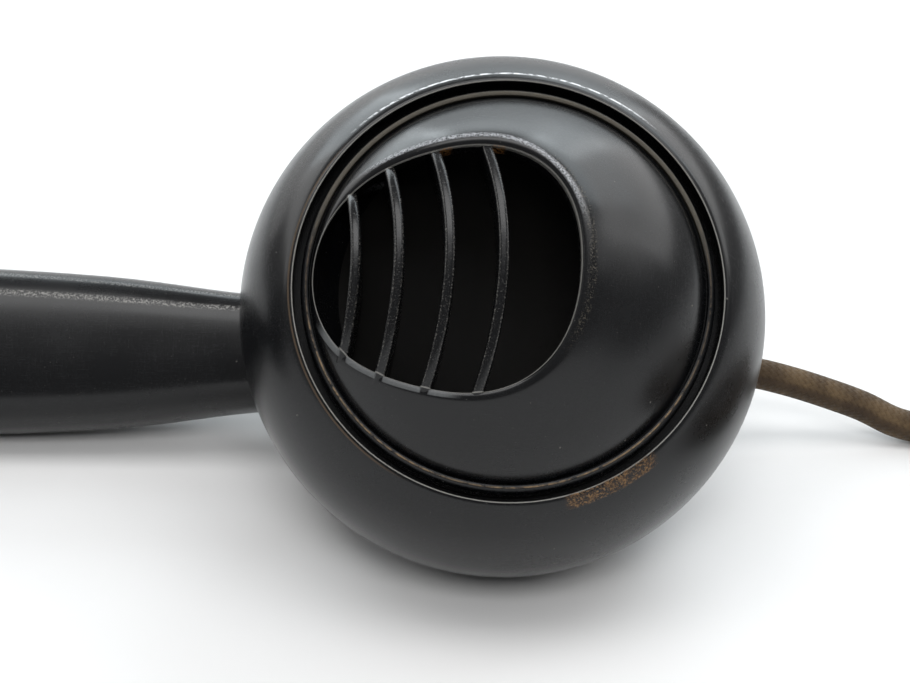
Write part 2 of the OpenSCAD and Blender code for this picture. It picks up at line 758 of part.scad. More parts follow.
module cord_ferrule() color("#b08c46") lying_down() along_neck() difference() {
    translate([0, 0, entry_start - 1]) cylinder(r = cord_bore_r - 0.05, h = 6);
    translate([0, 0, entry_start]) cylinder(r = cord_r + 0.01, h = 6);
    translate([0, 0, entry_start - 1 - cut]) cylinder(r = cord_r - 0.4, h = 3);
}

module cord_bush() color("#1b1a1a") lying_down() along_neck() difference() {
    union() {
        translate([0, 0, neck_end - bush_seat + 0.1]) cylinder(r = bush_seat_r - 0.05, h = bush_seat);
        translate([0, 0, neck_end]) cylinder(r1 = neck_r - 0.2, r2 = cord_r + 0.9, h = bush_out);
    }
    translate([0, 0, neck_end - bush_seat - cut])
        cylinder(r = cord_r + 0.01, h = bush_seat + bush_out + 2 * cut);
}

module receiver_wires() color("#5a2a20") lying_down() for (s = [-1, 1]) {
    end = s < 0 ? to_terminal(2, -1) : to_terminal(0, 1);
    side = 0.95 * s;
    tube(smooth_rows(concat(
        [end[2], end[1], end[0], [-2.9, s < 0 ? -1.5 : 0.6, block_top - 2.4],
         [-3.2, side, neck_root[2] + 2.4],
         [-7.5, side, neck_root[2] - 0.2]],
        [for (t = [0.2 : 0.2 : 0.8]) passage_mouth_end * (1 - t) + passage_mid * t + [0, side, 0]],
        [passage_mid + [0, side, 0.4]],
        [for (t = [0.8 : -0.2 : 0.2]) passage_ear_end * (1 - t) + passage_mid * t + [0, side, 0]],
        [from_ear([4, side + 0.6, -ear_floor - 4.2]),
         from_ear([side * 0.9, 4.6, -ear_floor - 2.6]),
         from_ear([side, ear_wire_hole_y - 0.9, -ear_floor + 0.6]),
         from_ear([side, ear_wire_hole_y, ear_case_in_floor + 0.6]),
         from_ear([side * 1.7, ear_wire_hole_y + 1.4, ear_case_in_floor + 2.2]),
         from_ear([s * ear_screw_x, ear_screw_y - ear_screw_head_r - 0.3,
                   ear_case_in_floor + ear_plate_t + wire_r + 0.1])]), 3), wire_r, wire_sides);
}

module magnet_screw_holes(z0, z1) {
    for (s = [-1, 1]) translate([s * magnet_screw_x, 0, 0])
        disc(magnet_screw_r + screw_gap, z0 - cut, z1 + cut);
}

module receiver_case() color("#a9abad") lying_down() at_receiver() difference() {
    union() {
        disc(ear_case_r, ear_case_floor, ear_disc_seat);
        disc(ear_thread_r - loose, ear_ledge, ear_disc_seat);
    }
    disc(ear_case_r - ear_case_t, ear_case_in_floor, ear_disc_seat + cut);
    translate([0, ear_wire_hole_y, ear_case_floor - cut])
        cylinder(r = ear_wire_hole_r, h = ear_case_t + 2 * cut);
    magnet_screw_holes(ear_case_floor, ear_case_in_floor);
}

module receiver_magnet() color("#55585c") lying_down() at_receiver() difference() {
    translate([-magnet_l / 2, -magnet_w / 2, ear_case_in_floor]) cube([magnet_l, magnet_w, magnet_t]);
    magnet_screw_holes(ear_case_in_floor, magnet_top);
}

// Two of a piece, one for each pole
module both_poles() {
    for (s = [0, 180]) rotate(s) children();
}

module pole_pieces() color("#8f9194") lying_down() at_receiver() both_poles() difference() {
    union() {
        translate([pole_gap, -pole_w / 2, magnet_top])
            cube([magnet_l / 2 - pole_gap, pole_w, foot_t]);
        translate([pole_gap, -pole_w / 2, magnet_top]) cube([pole_t, pole_w, pole_top - magnet_top]);
    }
    magnet_screw_holes(magnet_top, foot_top);
}

// Rectangular block round a pole, grown by a margin on every side
module round_pole(margin, z0, z1) {
    translate([pole_gap - margin, -pole_w / 2 - margin, z0])
        cube([pole_t + 2 * margin, pole_w + 2 * margin, z1 - z0]);
}

module coil_bobbins() color("#c9b98a") lying_down() at_receiver() both_poles() difference() {
    union() {
        round_pole(bobbin_gap + bobbin_wall, foot_top, bobbin_top);
        round_pole(bobbin_reach, foot_top, foot_top + bobbin_wall);
        round_pole(bobbin_reach, bobbin_top - bobbin_wall, bobbin_top);
    }
    round_pole(bobbin_gap, foot_top - cut, bobbin_top + cut);
}

module coil_windings() color("#7a3b22") lying_down() at_receiver() both_poles() difference() {
    round_pole(bobbin_reach - 0.4, foot_top + bobbin_wall, bobbin_top - bobbin_wall);
    round_pole(bobbin_gap + bobbin_wall, foot_top, bobbin_top);
}

module magnet_screws() color("#a8a49a") lying_down() at_receiver() for (s = [-1, 1])
    translate([s * magnet_screw_x, 0, 0])
        slotted_screw(foot_top, magnet_screw_r + 1, magnet_screw_r, foot_top - ear_case_floor);

module receiver_terminal_plate() color("#7a3a20") lying_down() at_receiver() difference() {
    translate([-6, ear_screw_y - 2.2, ear_case_in_floor]) cube([12, 4.4, ear_plate_t]);
    for (s = [-1, 1]) translate([s * ear_screw_x, ear_screw_y, 0])
        disc(ear_screw_r + screw_gap, ear_case_in_floor - cut, ear_case_in_floor + ear_plate_t + cut);
}

module receiver_terminal_screws() color("#c9a24a") lying_down() at_receiver() for (s = [-1, 1])
    translate([s * ear_screw_x, ear_screw_y, 0])
        slotted_screw(ear_case_in_floor + ear_plate_t, ear_screw_head_r, ear_screw_r, ear_plate_t - 0.1);

module receiver_diaphragm() color("#4c4f54") lying_down() at_receiver()
    disc(ear_thread_r - 0.5, ear_disc_seat, ear_disc_seat + ear_disc_t);

cap_edge_r = ear_r - ear_shoulder_r + sqrt(ear_shoulder_r * ear_shoulder_r - cap_under * cap_under);
module ear_washer() color("#2a2622") lying_down() at_receiver()
    ring(cap_edge_r - 0.6, ear_thread_r + loose, ear_rim, ear_rim + ear_washer_t);

// Ear cap: a body of revolution that carries on the cup's shoulder, closes in over a
// rounded rim and falls into a shallow dish with the sound holes
cap_round = 6.2;
cap_rise = cap_crest - cap_under;
dish_mid = sqrt(dish_r * dish_r - cap_crest_r * cap_crest_r);
dish_sag = dish_r - dish_mid;
module ear_cap() color("#131417") lying_down() at_receiver() difference() {
    rotate_extrude() {
        translate([0, cap_under]) intersection() {
            union() {
                translate([cap_edge_r - cap_round, cap_rise - cap_round]) circle(r = cap_round);
                square([cap_edge_r, cap_rise - cap_round]);
                square([cap_edge_r - cap_round, cap_rise]);
            }
            square([cap_edge_r, cap_rise]);
        }
        translate([ear_skirt_in_r, ear_skirt_end])
            square([ear_skirt_r - ear_skirt_in_r, cap_under + cut - ear_skirt_end]);
    }
    translate([0, 0, cap_crest + dish_mid]) sphere(r = dish_r, $fn = 200);
    disc(ear_skirt_in_r, ear_skirt_end - cut, cap_under);
    disc(cap_crest_r - 2.5, cap_under - cut, cap_crest - dish_sag - cap_t);
    for (k = [0 : sound_holes - 1]) rotate(360 * k / sound_holes) translate([sound_ring_r, 0, 0])
        disc(sound_hole_r, cap_under - cut, cap_crest + cut);
    disc(sound_hole_r, cap_under - cut, cap_crest + cut);
}

// ---------------------------------------------------------------- free cord

cord_exit = on_table(on_neck(bush_end));
cord_exit_next = on_table(on_neck(bush_end + cord_d));

module cord_lead() color("#7a6444")
    tube(concat([cord_exit, cord_exit_next], lead_points,
                [coil_start - [cord_d, 0, 0], coil_start]), cord_r, 8);

module cord_coil() color("#7a6444") tube(coil_path, cord_r, 6);

binding_end = binding_start + binding_l * [cos(binding_turn), sin(binding_turn), 0];
binding_dir = [cos(binding_turn), sin(binding_turn), 0];

module cord_tail() color("#7a6444")
    tube(concat([coil_end, coil_end + [cord_d, 0, 0]], tail_points,
                [binding_start - cord_d * binding_dir, binding_start]), cord_r, 8);

module cord_end_binding() color("#3b2c1c") translate(binding_start)
    rotate([0, 90, binding_turn]) cylinder(r = binding_r, h = binding_l);

// The three conductors fan out from the binding, each in its own direction
function fan_dir(k) = let (a = binding_turn + (k - 1) * conductor_spread) [cos(a), sin(a), 0];
function fan_start(k) =
    binding_end + conductor_pitch * (k - 1) * [-sin(binding_turn), cos(binding_turn), 0];
function fan_end(k) = fan_start(k) + conductor_l * fan_dir(k) + [0, 0, barrel_r - binding_start[2]];

module tail_conductors() color("#6e2f22") for (k = [0 : 2])
    tube([fan_start(k), fan_start(k) + 3 * binding_dir + [0, 0, -0.1],
          fan_start(k) * 0.55 + fan_end(k) * 0.45 + 1.5 * (binding_dir - fan_dir(k)),
          fan_end(k) - 3 * fan_dir(k), fan_end(k)], conductor_r, 8);

module ring_tags() color("#c2a45a") for (k = [0 : 2]) translate([fan_end(k)[0], fan_end(k)[1], 0])
    rotate(binding_turn + (k - 1) * conductor_spread) {
        translate([0, 0, barrel_r]) rotate([0, 90, 0]) cylinder(r = barrel_r, h = barrel_l);
        difference() {
            union() {
                translate([barrel_l + tag_r - 0.6, 0, 0]) cylinder(r = tag_r, h = tag_t);
                translate([barrel_l - 1, -barrel_r, 0]) cube([tag_r, 2 * barrel_r, tag_t]);
            }
            translate([barrel_l + tag_r - 0.6, 0, -cut]) cylinder(r = tag_hole_r, h = tag_t + 2 * cut);
        }
    }

echo(coil_gap = least_gap(coil_core, coil_rings - 6, cord_d));

handset_body();
mouthpiece();
mouthpiece_washer();
moisture_membrane();
membrane_ring();
capsule_gasket();
capsule_front_plate();
capsule_case();
diaphragm_spacer();
transmitter_diaphragm();
diaphragm_clamp_ring();
moving_electrode();
carbon_granules();
carbon_chamber();
back_electrode();
insulating_washer();
electrode_nut();
centre_contact_spring();
rim_contact_spring();
terminal_block();
terminal_screws();
block_screws();
transmitter_wires();
cord_entry();
cord_ferrule();
cord_bush();
receiver_wires();
receiver_case();
receiver_magnet();
pole_pieces();
coil_bobbins();
coil_windings();
magnet_screws();
receiver_terminal_plate();
receiver_terminal_screws();
receiver_diaphragm();
ear_washer();
ear_cap();
cord_lead();
cord_coil();
cord_tail();
cord_end_binding();
tail_conductors();
ring_tags();
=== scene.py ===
"""A moulded telephone handset lying on its side, with its braided cord wound up beside it.

Lengths in outlines and patterns are millimetres in the piece's own frame. The finished
meshes are metres in the row frame, where the handset lies along X and Z points up.
"""
import math

import bpy
import numpy as np
from mathutils import Matrix, Vector


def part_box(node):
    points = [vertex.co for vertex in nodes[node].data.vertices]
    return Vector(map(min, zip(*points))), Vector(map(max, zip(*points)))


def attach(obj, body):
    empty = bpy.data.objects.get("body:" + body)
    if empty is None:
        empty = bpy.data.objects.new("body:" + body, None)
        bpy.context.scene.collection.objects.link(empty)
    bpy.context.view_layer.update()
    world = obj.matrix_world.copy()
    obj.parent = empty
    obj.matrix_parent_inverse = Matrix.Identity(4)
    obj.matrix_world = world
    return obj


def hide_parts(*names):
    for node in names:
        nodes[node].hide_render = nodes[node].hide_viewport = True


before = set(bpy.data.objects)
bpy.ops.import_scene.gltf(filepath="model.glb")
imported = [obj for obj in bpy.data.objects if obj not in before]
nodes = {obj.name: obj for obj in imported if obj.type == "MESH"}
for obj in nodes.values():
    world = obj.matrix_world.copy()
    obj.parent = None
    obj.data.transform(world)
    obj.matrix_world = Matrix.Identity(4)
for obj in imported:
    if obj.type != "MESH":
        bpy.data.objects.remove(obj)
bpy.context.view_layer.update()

MM = 0.001
TURN = 2 * math.pi

# ------------------------------------------------------------------ where things lie
ROLL = math.radians(41.5)          # the mouthpiece's axis above the table
EAR_LEAN = math.radians(8)         # the receiver's lean towards the mouthpiece
CUP_SPACING = 162                  # from cup to cup
MOUTH_AXIS = Vector((0, -math.cos(ROLL), math.sin(ROLL)))
MOUTH_TURN = math.radians(-2.5)    # how far the mouthpiece is screwed past the middle


def middle(node):
    low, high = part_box(node)
    return (low + high) / 2


LIP_H, LEDGE, WASHER_T, WASHER_GAP = 15.2, 10.8, 0.75, 0.05
FLANGE_UNDER = LEDGE + WASHER_T + WASHER_GAP
upright = Matrix.Rotation(math.pi / 2 - ROLL, 4, "X")
mouth_origin = middle("mouthpiece_washer") - MOUTH_AXIS * (LEDGE + WASHER_T / 2) * MM
mouth_frame = Matrix.Translation(mouth_origin) @ upright
turned_frame = mouth_frame @ Matrix.Rotation(MOUTH_TURN, 4, "Z")

EAR_RIM, EAR_WASHER_T = 5, 0.75
ear_turn = upright @ Matrix.Rotation(EAR_LEAN, 4, "Y")
ear_origin = middle("ear_washer") - ear_turn @ Vector((0, 0, (EAR_RIM + EAR_WASHER_T / 2) * MM))
ear_frame = Matrix.Translation(ear_origin) @ ear_turn
ear_in_mouth = mouth_frame.inverted() @ ear_frame

NECK_ROOT, NECK_TILT, NECK_END, BUSH_OUT = -25, math.radians(5.3), 24, 4
neck_frame = (mouth_frame @ Matrix.Translation(Vector((0, 0, NECK_ROOT * MM)))
              @ Matrix.Rotation(math.pi / 2 + NECK_TILT, 4, "Y"))

# ------------------------------------------------------------------ camera
# The camera's place is given from the middle of the transmitter cup.
AZIMUTH, ELEVATION, CAMERA_ROLL = (math.radians(a) for a in (-1.653, 29.77, 1.8))
DISTANCE, SHIFT_RIGHT, SHIFT_UP = 250, -6.007, -3.48
FOCAL_PIXELS, FRAME_WIDTH, SENSOR = 1967.54, 910, 36
back = Vector((math.sin(AZIMUTH) * math.cos(ELEVATION),
               -math.cos(AZIMUTH) * math.cos(ELEVATION), math.sin(ELEVATION)))
level = Vector((math.cos(AZIMUTH), math.sin(AZIMUTH), 0))
turn = Matrix.Rotation(CAMERA_ROLL, 3, back)
right, up = turn @ level, turn @ back.cross(level)
bpy.ops.object.camera_add()
camera = bpy.context.object
camera.name = "camera"
camera.matrix_world = Matrix.Translation(
    mouth_origin + (back * DISTANCE + right * SHIFT_RIGHT + up * SHIFT_UP) * MM
) @ Matrix((right, up, back)).transposed().to_4x4()
camera.data.sensor_width = SENSOR
camera.data.lens = SENSOR * FOCAL_PIXELS / FRAME_WIDTH
camera.data.clip_start, camera.data.clip_end = 0.01, 20
bpy.context.scene.camera = camera


# ------------------------------------------------------------------ making materials
class Wire:
    """The output of a node. Arithmetic on it adds Math nodes."""

    def __init__(self, finish, socket):
        self.finish = finish
        self.socket = socket

    def math(self, operation, *values):
        return self.finish.node("ShaderNodeMath", {"operation": operation}, dict(enumerate(values)))

    def __add__(self, other):
        return self.math("ADD", self, other)

    def __sub__(self, other):
        return self.math("SUBTRACT", self, other)

    def __mul__(self, other):
        return self.math("MULTIPLY", self, other)

    def __truediv__(self, other):
        return self.math("DIVIDE", self, other)

    def __pow__(self, other):
        return self.math("POWER", self, other)

    def __rsub__(self, other):
        return self.math("SUBTRACT", other, self)

    def __rtruediv__(self, other):
        return self.math("DIVIDE", other, self)

    def __abs__(self):
        return self.math("ABSOLUTE", self)

    __radd__ = __add__
    __rmul__ = __mul__

    def sine(self):
        return self.math("SINE", self)

    def cosine(self):
        return self.math("COSINE", self)

    def angle(self, other):
        """The angle of (other, self) from the first axis."""
        return self.math("ARCTAN2", self, other)

    def whole(self):
        return self.math("FLOOR", self)

    def part(self):
        return self.math("FRACT", self)

    def larger(self, other):
        return self.math("MAXIMUM", self, other)

    def smaller(self, other):
        return self.math("MINIMUM", self, other)


class Finish:
    """A procedural material, made of nodes."""

    def __init__(self, name, **constants):
        self.material = bpy.data.materials.new(name)
        self.material.use_nodes = True
        self.tree = self.material.node_tree
        self.shader = self.tree.nodes["Principled BSDF"]
        for word, value in constants.items():
            self.shader.inputs[word.replace("_", " ").title().replace("Ior", "IOR")].default_value = value

    def node(self, kind, settings=None, inputs=None, out=0):
        made = self.tree.nodes.new(kind)
        for word, value in (settings or {}).items():
            setattr(made, word, value)
        for place, value in (inputs or {}).items():
            if isinstance(value, Wire):
                self.tree.links.new(value.socket, made.inputs[place])
            else:
                made.inputs[place].default_value = value
        return Wire(self, made.outputs[out])

    def set(self, word, wire):
        self.tree.links.new(wire.socket, self.shader.inputs[word])
        return self

    def place(self, where=None, stretch=(1, 1, 1)):
        """Object coordinates in millimetres, in a frame."""
        inverse = (where or Matrix.Identity(4)).inverted()
        coordinates = self.node("ShaderNodeTexCoord", out="Object")
        moved = self.node("ShaderNodeMapping", {"vector_type": "POINT"}, {
            "Vector": coordinates, "Location": inverse.translation / MM,
            "Rotation": inverse.to_euler(), "Scale": (1 / MM,) * 3})
        if stretch == (1, 1, 1):
            return moved
        return self.node("ShaderNodeVectorMath", {"operation": "MULTIPLY"}, {0: moved, 1: stretch})

    def split(self, vector):
        made = self.node("ShaderNodeSeparateXYZ", None, {0: vector})
        return [Wire(self, out) for out in made.socket.node.outputs]

    def noise(self, where, scale, detail=3, roughness=0.5):
        return self.node("ShaderNodeTexNoise", None, {
            "Vector": where, "Scale": scale, "Detail": detail, "Roughness": roughness})

    def cells(self, where, scale):
        """Distance from the middle of the nearest cell."""
        return self.node("ShaderNodeTexVoronoi", None, {"Vector": where, "Scale": scale}, "Distance")

    def fade(self, value, low, high):
        """Rises smoothly from 0 at low to 1 at high."""
        return self.node("ShaderNodeMapRange", {"interpolation_type": "SMOOTHSTEP"},
                         {"Value": value, "From Min": low, "From Max": high})

    def band(self, value, centre, width, soft):
        """1 within width of centre, and 0 further off."""
        return 1 - self.fade(abs(value - centre), width, width + soft)

    def spread(self, value, low, high):
        """A value from 0 to 1 taken to low to high."""
        return self.node("ShaderNodeMapRange", None, {"Value": value, "To Min": low, "To Max": high})

    def mix(self, share, first, second):
        return self.node("ShaderNodeMix", {"data_type": "RGBA"}, {
            0: share,
            6: first if isinstance(first, Wire) else (*first, 1),
            7: second if isinstance(second, Wire) else (*second, 1)}, out=2)

    def bump(self, height, depth, strength):
        """Bump from a height of 0 to 1 that stands for a depth in millimetres."""
        return self.set("Normal", self.node("ShaderNodeBump", None, {
            "Strength": strength, "Distance": depth * MM, "Height": height}))


# ------------------------------------------------------------------ modelling helpers
def pick(obj):
    bpy.ops.object.select_all(action="DESELECT")
    obj.select_set(True)
    bpy.context.view_layer.objects.active = obj


def move(obj, matrix):
    """Moves a mesh's points by a matrix."""
    pick(obj)
    obj.matrix_world = matrix
    bpy.ops.object.transform_apply(location=True, rotation=True, scale=True)
    return obj


def settle(obj, where):
    """Takes a mesh modelled in millimetres in a frame to its place in the row frame."""
    return move(obj, where @ Matrix.Scale(MM, 4))


def arc(centre, radius, first, last, steps):
    """Points of (radius, height) along an arc, its angles in degrees."""
    angles = [math.radians(first + (last - first) * i / steps) for i in range(steps + 1)]
    return [(centre[0] + radius * math.cos(a), centre[1] + radius * math.sin(a)) for a in angles]


def rounded(corners, steps=5):
    """An outline through corners of (x, y) or (x, y, rounding)."""
    out = [corners[0][:2]]
    for before, here, after in zip(corners, corners[1:], corners[2:]):
        point = Vector(here[:2])
        if len(here) == 2:
            out.append(tuple(point))
            continue
        to_before = (Vector(before[:2]) - point).normalized()
        to_after = (Vector(after[:2]) - point).normalized()
        half = to_before.angle(to_after) / 2
        centre = point + (to_before + to_after).normalized() * here[2] / math.sin(half)
        start = point + to_before * here[2] / math.tan(half) - centre
        end = point + to_after * here[2] / math.tan(half) - centre
        sweep = start.angle_signed(end)
        for i in range(steps + 1):
            a = -sweep * i / steps
            out.append((centre.x + start.x * math.cos(a) - start.y * math.sin(a),
                        centre.y + start.x * math.sin(a) + start.y * math.cos(a)))
    return out + [corners[-1][:2]]


def turned(name, outline, steps):
    """Body of revolution about Z. A single point is drawn out along the outline and spun."""
    bpy.ops.object.select_all(action="DESELECT")
    bpy.ops.mesh.primitive_plane_add(size=0.1)
    obj = bpy.context.object
    obj.name = name
    bpy.ops.object.mode_set(mode="EDIT")
    bpy.ops.mesh.select_all(action="SELECT")
    bpy.ops.mesh.merge(type="CENTER")
    bpy.ops.transform.translate(value=(outline[0][0], 0, outline[0][1]))
    for (r, z), (next_r, next_z) in zip(outline, outline[1:]):
        bpy.ops.mesh.extrude_region_move(
            TRANSFORM_OT_translate={"value": (next_r - r, 0, next_z - z)})
    bpy.ops.mesh.select_all(action="SELECT")
    bpy.ops.mesh.spin(steps=steps, angle=TURN, center=(0, 0, 0), axis=(0, 0, 1))
    bpy.ops.mesh.select_all(action="SELECT")
    bpy.ops.mesh.remove_doubles(threshold=0.002)
    bpy.ops.mesh.normals_make_consistent(inside=False)
    bpy.ops.object.mode_set(mode="OBJECT")
    return obj


def bar(name, start, end, radius, sides=48):
    """Round bar from one point to another."""
    start, end = Vector(start), Vector(end)
    bpy.ops.object.select_all(action="DESELECT")
    bpy.ops.mesh.primitive_cylinder_add(
        vertices=sides, radius=radius, depth=(end - start).length, location=(start + end) / 2,
        rotation=(end - start).to_track_quat("Z", "Y").to_euler())
    obj = bpy.context.object
    obj.name = name
    bpy.ops.object.transform_apply(location=True, rotation=True, scale=True)
    return obj


def woven_grid(name, columns, rows, place, closed=False):
    """A grid primitive whose points are laid out by place(column, row)."""
    bpy.ops.object.select_all(action="DESELECT")
    bpy.ops.mesh.primitive_grid_add(x_subdivisions=columns, y_subdivisions=rows, size=1,
                                    calc_uvs=True)
    obj = bpy.context.object
    obj.name = name
    across, down = columns + 1, rows + 1
    points = np.array([place(i % across, i // across) for i in range(across * down)], np.float32)
    obj.data.vertices.foreach_set("co", points.ravel())
    if closed:
        merge_doubles(obj)
    return obj


def merge_doubles(obj):
    pick(obj)
    bpy.ops.object.mode_set(mode="EDIT")
    bpy.ops.mesh.select_all(action="SELECT")
    bpy.ops.mesh.remove_doubles(threshold=1e-4)
    bpy.ops.object.mode_set(mode="OBJECT")


def close_ends(obj):
    """Gives every open end of a tube its face."""
    pick(obj)
    bpy.ops.object.mode_set(mode="EDIT")
    bpy.ops.mesh.select_all(action="DESELECT")
    bpy.ops.mesh.select_non_manifold()
    bpy.ops.mesh.edge_face_add()
    bpy.ops.object.mode_set(mode="OBJECT")


def face_outwards(obj):
    pick(obj)
    bpy.ops.object.mode_set(mode="EDIT")
    bpy.ops.mesh.select_all(action="SELECT")
    bpy.ops.mesh.normals_make_consistent(inside=False)
    bpy.ops.object.mode_set(mode="OBJECT")


def combine(obj, others, operation):
    """Adds other closed meshes to a mesh, or cuts them out of it."""
    for other in others:
        pick(obj)
        modifier = obj.modifiers.new("combine", "BOOLEAN")
        modifier.operation = operation
        modifier.solver = "EXACT"
        modifier.object = other
        bpy.ops.object.modifier_apply(modifier=modifier.name)
        bpy.data.objects.remove(other)


def smooth(obj, degrees):
    pick(obj)
    bpy.ops.object.shade_smooth_by_angle(angle=math.radians(degrees))
    return obj


def dress(obj, finish, body, slot, *replaced):
    """Gives a finished piece its material and its place in the assembly."""
    obj.data.materials.clear()
    obj.data.materials.append(finish.material)
    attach(obj, body)
    if replaced:
        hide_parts(*replaced)
    return obj


def smooth_at(rows, i, t):
    """A point at share t between rows i and i + 1, on a smooth curve through all rows."""
    n = len(rows) - 1
    a, b, c, d = (np.array(rows[k], float) for k in (max(i - 1, 0), i, min(i + 1, n), min(i + 2, n)))
    return 0.5 * (2 * b + (c - a) * t + (2 * a - 5 * b + 4 * c - d) * t ** 2
                  + (3 * b - a - 3 * c + d) * t ** 3)


def smooth_rows(rows, steps):
    inner = [smooth_at(rows, i, k / steps) for i in range(len(rows) - 1) for k in range(steps)]
    return inner + [np.array(rows[-1], float)]


# ------------------------------------------------------------------ the mouthpiece's opening
OPENING_R, OPENING_C = 15.5, np.array((-8, 0.2))
RIM_W, RIM_INSET, RIM_INSET_AT = 1.15, 0.55, math.radians(45)
RUST_SPOTS = ((-8.5, 14.3), (-2.3, 14.4))
DOME_R, DOME_TOP = 28, 28.5
dome_mid = DOME_TOP - DOME_R
RIB_PLACES, RIB_T, RIB_BOW, RIB_TILT = (5.25, 10.3, 16.1, 22.2), 1.3, 48, math.radians(1)


def opening_at(a, cos=math.cos):
    """The opening's outer radius in one direction from its centre."""
    return (OPENING_R + 0.86 * cos(a) + 0.55 * cos(2 * a) - 0.56 * cos(3 * a)
            - 0.29 * cos(4 * a))


def inset_at(a, cos=math.cos):
    """How far the hood's edge reaches in over the opening."""
    return RIM_INSET * (0.5 + 0.5 * cos(a - RIM_INSET_AT))


opening_start = OPENING_C[0] - opening_at(math.pi)
rib_centres = [opening_start + offset - RIB_BOW for offset in RIB_PLACES]

# The handle's half width and half depth in its middle and where it meets the cups,
# the power of its squared front, and half its length.
GRIP_HW, GRIP_HD, NECK_HW, NECK_HD, GRIP_POWER, GRIP_HALF_L = 11.8, 9.5, 8.15, 8.4, 3, 48
# Radii of the worn lines and the painted glint line on the lip, outwards from its edge, and of the bead's
# crest.
LIP_EDGE_R, LIP_LINE_R, LIP_SCUFF_R, LIP_GLINT_R, BEAD_R = 25.93, 26.35, 26.7, 27.05, 24.22

# ------------------------------------------------------------------ finishes
def phenolic(name, where, wear_and_light=None):
    """Black moulded phenolic: a soft gloss with haze, hairline scratches and dust."""
    f = Finish(name, specular_ior_level=0.5, ior=1.4, coat_roughness=0.45, coat_ior=1.4)
    spot = f.place(where)
    haze = f.noise(spot, 0.045, 4, 0.6)
    grain = f.noise(spot, 1.9, 4, 0.6)
    scratch_a = f.noise(f.place(where, (0.05, 2.2, 0.6)), 3.0, 2)
    scratch_b = f.noise(f.place(where, (1.7, 0.07, 0.9)), 3.0, 2)
    scratches = f.band(scratch_a, 0.5, 0.004, 0.004).larger(f.band(scratch_b, 0.5, 0.003, 0.004))
    dust = (1 - f.fade(f.cells(spot, 0.42), 0.035, 0.06)) * f.fade(f.noise(spot, 0.35, 2), 0.5, 0.62)
    specks = (1 - f.fade(f.cells(spot, 1.5), 0.05, 0.09)) * f.fade(f.noise(spot, 0.6, 2), 0.5, 0.6)
    dust = (dust + specks * 0.5).smaller(1)
    colour = f.mix(haze, (0.0018, 0.0019, 0.0023), (0.0032, 0.0034, 0.004))
    colour = f.mix(scratches * 0.12, colour, (0.035, 0.036, 0.04))
    colour = f.mix(dust * 0.6, colour, (0.19, 0.18, 0.16))
    rough = f.spread(f.fade(haze, 0.35, 0.68), 0.17, 0.27) + grain * 0.05 + scratches * 0.06
    height = grain * 0.05 + dust * 0.5
    # Each mark brings a colour and relief: wear, dust and rust, and also painted glints, a painted
    # highlight and painted light.
    for mask, worn, relief in wear_and_light(f, spot) if wear_and_light else []:
        colour = f.mix(mask, colour, worn)
        rough = rough + mask * 0.35
        height = height + mask * f.noise(spot, 6, 3) * relief
    f.set("Base Color", colour).set("Roughness", rough + dust * 0.3)
    f.set("Coat Weight", f.spread(haze, 0.0, 0.14))
    f.bump(height, 0.06, 0.6)
    return f


def sector(f, around, centre, half, soft):
    """1 within half of a direction, all in degrees."""
    turned_by = ((around - math.radians(centre)) / TURN + 0.5).part() - 0.5
    return 1 - f.fade(abs(turned_by) * 360, half, half + soft)


def handset_wear_and_glints(f, spot):
    """Rub marks: the lip's edge, a brown scuff beside it, and the handle's upper edges; and a painted glint
    line along the top of the lip.
    """
    x, y, z = f.split(spot)
    around, off_axis = y.angle(x), (x * x + y * y) ** 0.5
    fine = f.noise(spot, 4.5, 4, 0.7)
    on_lip = f.fade(z, 8, 10)
    edge = f.band(off_axis, LIP_EDGE_R, 0.04, 0.06) * f.fade(z, 14.6, 14.9) * f.spread(fine, 0.45, 1)
    second = f.band(off_axis, LIP_LINE_R, 0.05, 0.1) * sector(f, around, 190, 40, 15) * on_lip * 0.5
    ragged = f.fade(fine + f.noise(spot, 0.9, 3) * 0.45, 0.66, 0.75)
    scuff = sector(f, around, -62, 11.5, 2) * f.band(off_axis, LIP_SCUFF_R, 0.65, 0.25) * on_lip * ragged
    brown = f.mix(f.fade(f.noise(spot, 3.1, 3), 0.42, 0.6), (0.028, 0.014, 0.007), (0.16, 0.09, 0.038))
    top = sector(f, around, 92, 30, 16) * on_lip
    # Painted highlight: pale glints over fine scratch specks, on the top of the lip only.
    painted_glints = f.fade(f.noise(f.place(mouth_frame, (0.5, 1, 1)), 2.2, 3, 0.6), 0.36, 0.56)
    painted_glints = painted_glints * f.band(off_axis, LIP_GLINT_R, 0.06, 0.12) * top
    t = (x + CUP_SPACING / 2) / GRIP_HALF_L
    half_width = NECK_HW + (GRIP_HW - NECK_HW) * (1 - (t * t).smaller(1)) ** 1.5
    share = y / half_width
    rubbed = f.band(share, 0.86, 0.01, 0.03) * 0.5 + f.band(share, 0.605, 0.015, 0.05)
    rubbed = rubbed * f.fade(-1 * z, 15, 17) * f.fade(0 - abs(x + CUP_SPACING / 2), -50, -44)
    rubbed = rubbed * f.fade(f.noise(spot, 3.6, 4, 0.7), 0.46, 0.62) * 0.55
    return [(edge, (0.22, 0.215, 0.2), 0.3), (second, (0.09, 0.06, 0.035), 0.3), (scuff, brown, 1.4),
            (painted_glints, (0.62, 0.64, 0.66), 0.4), (rubbed, (0.34, 0.33, 0.31), 0.5)]


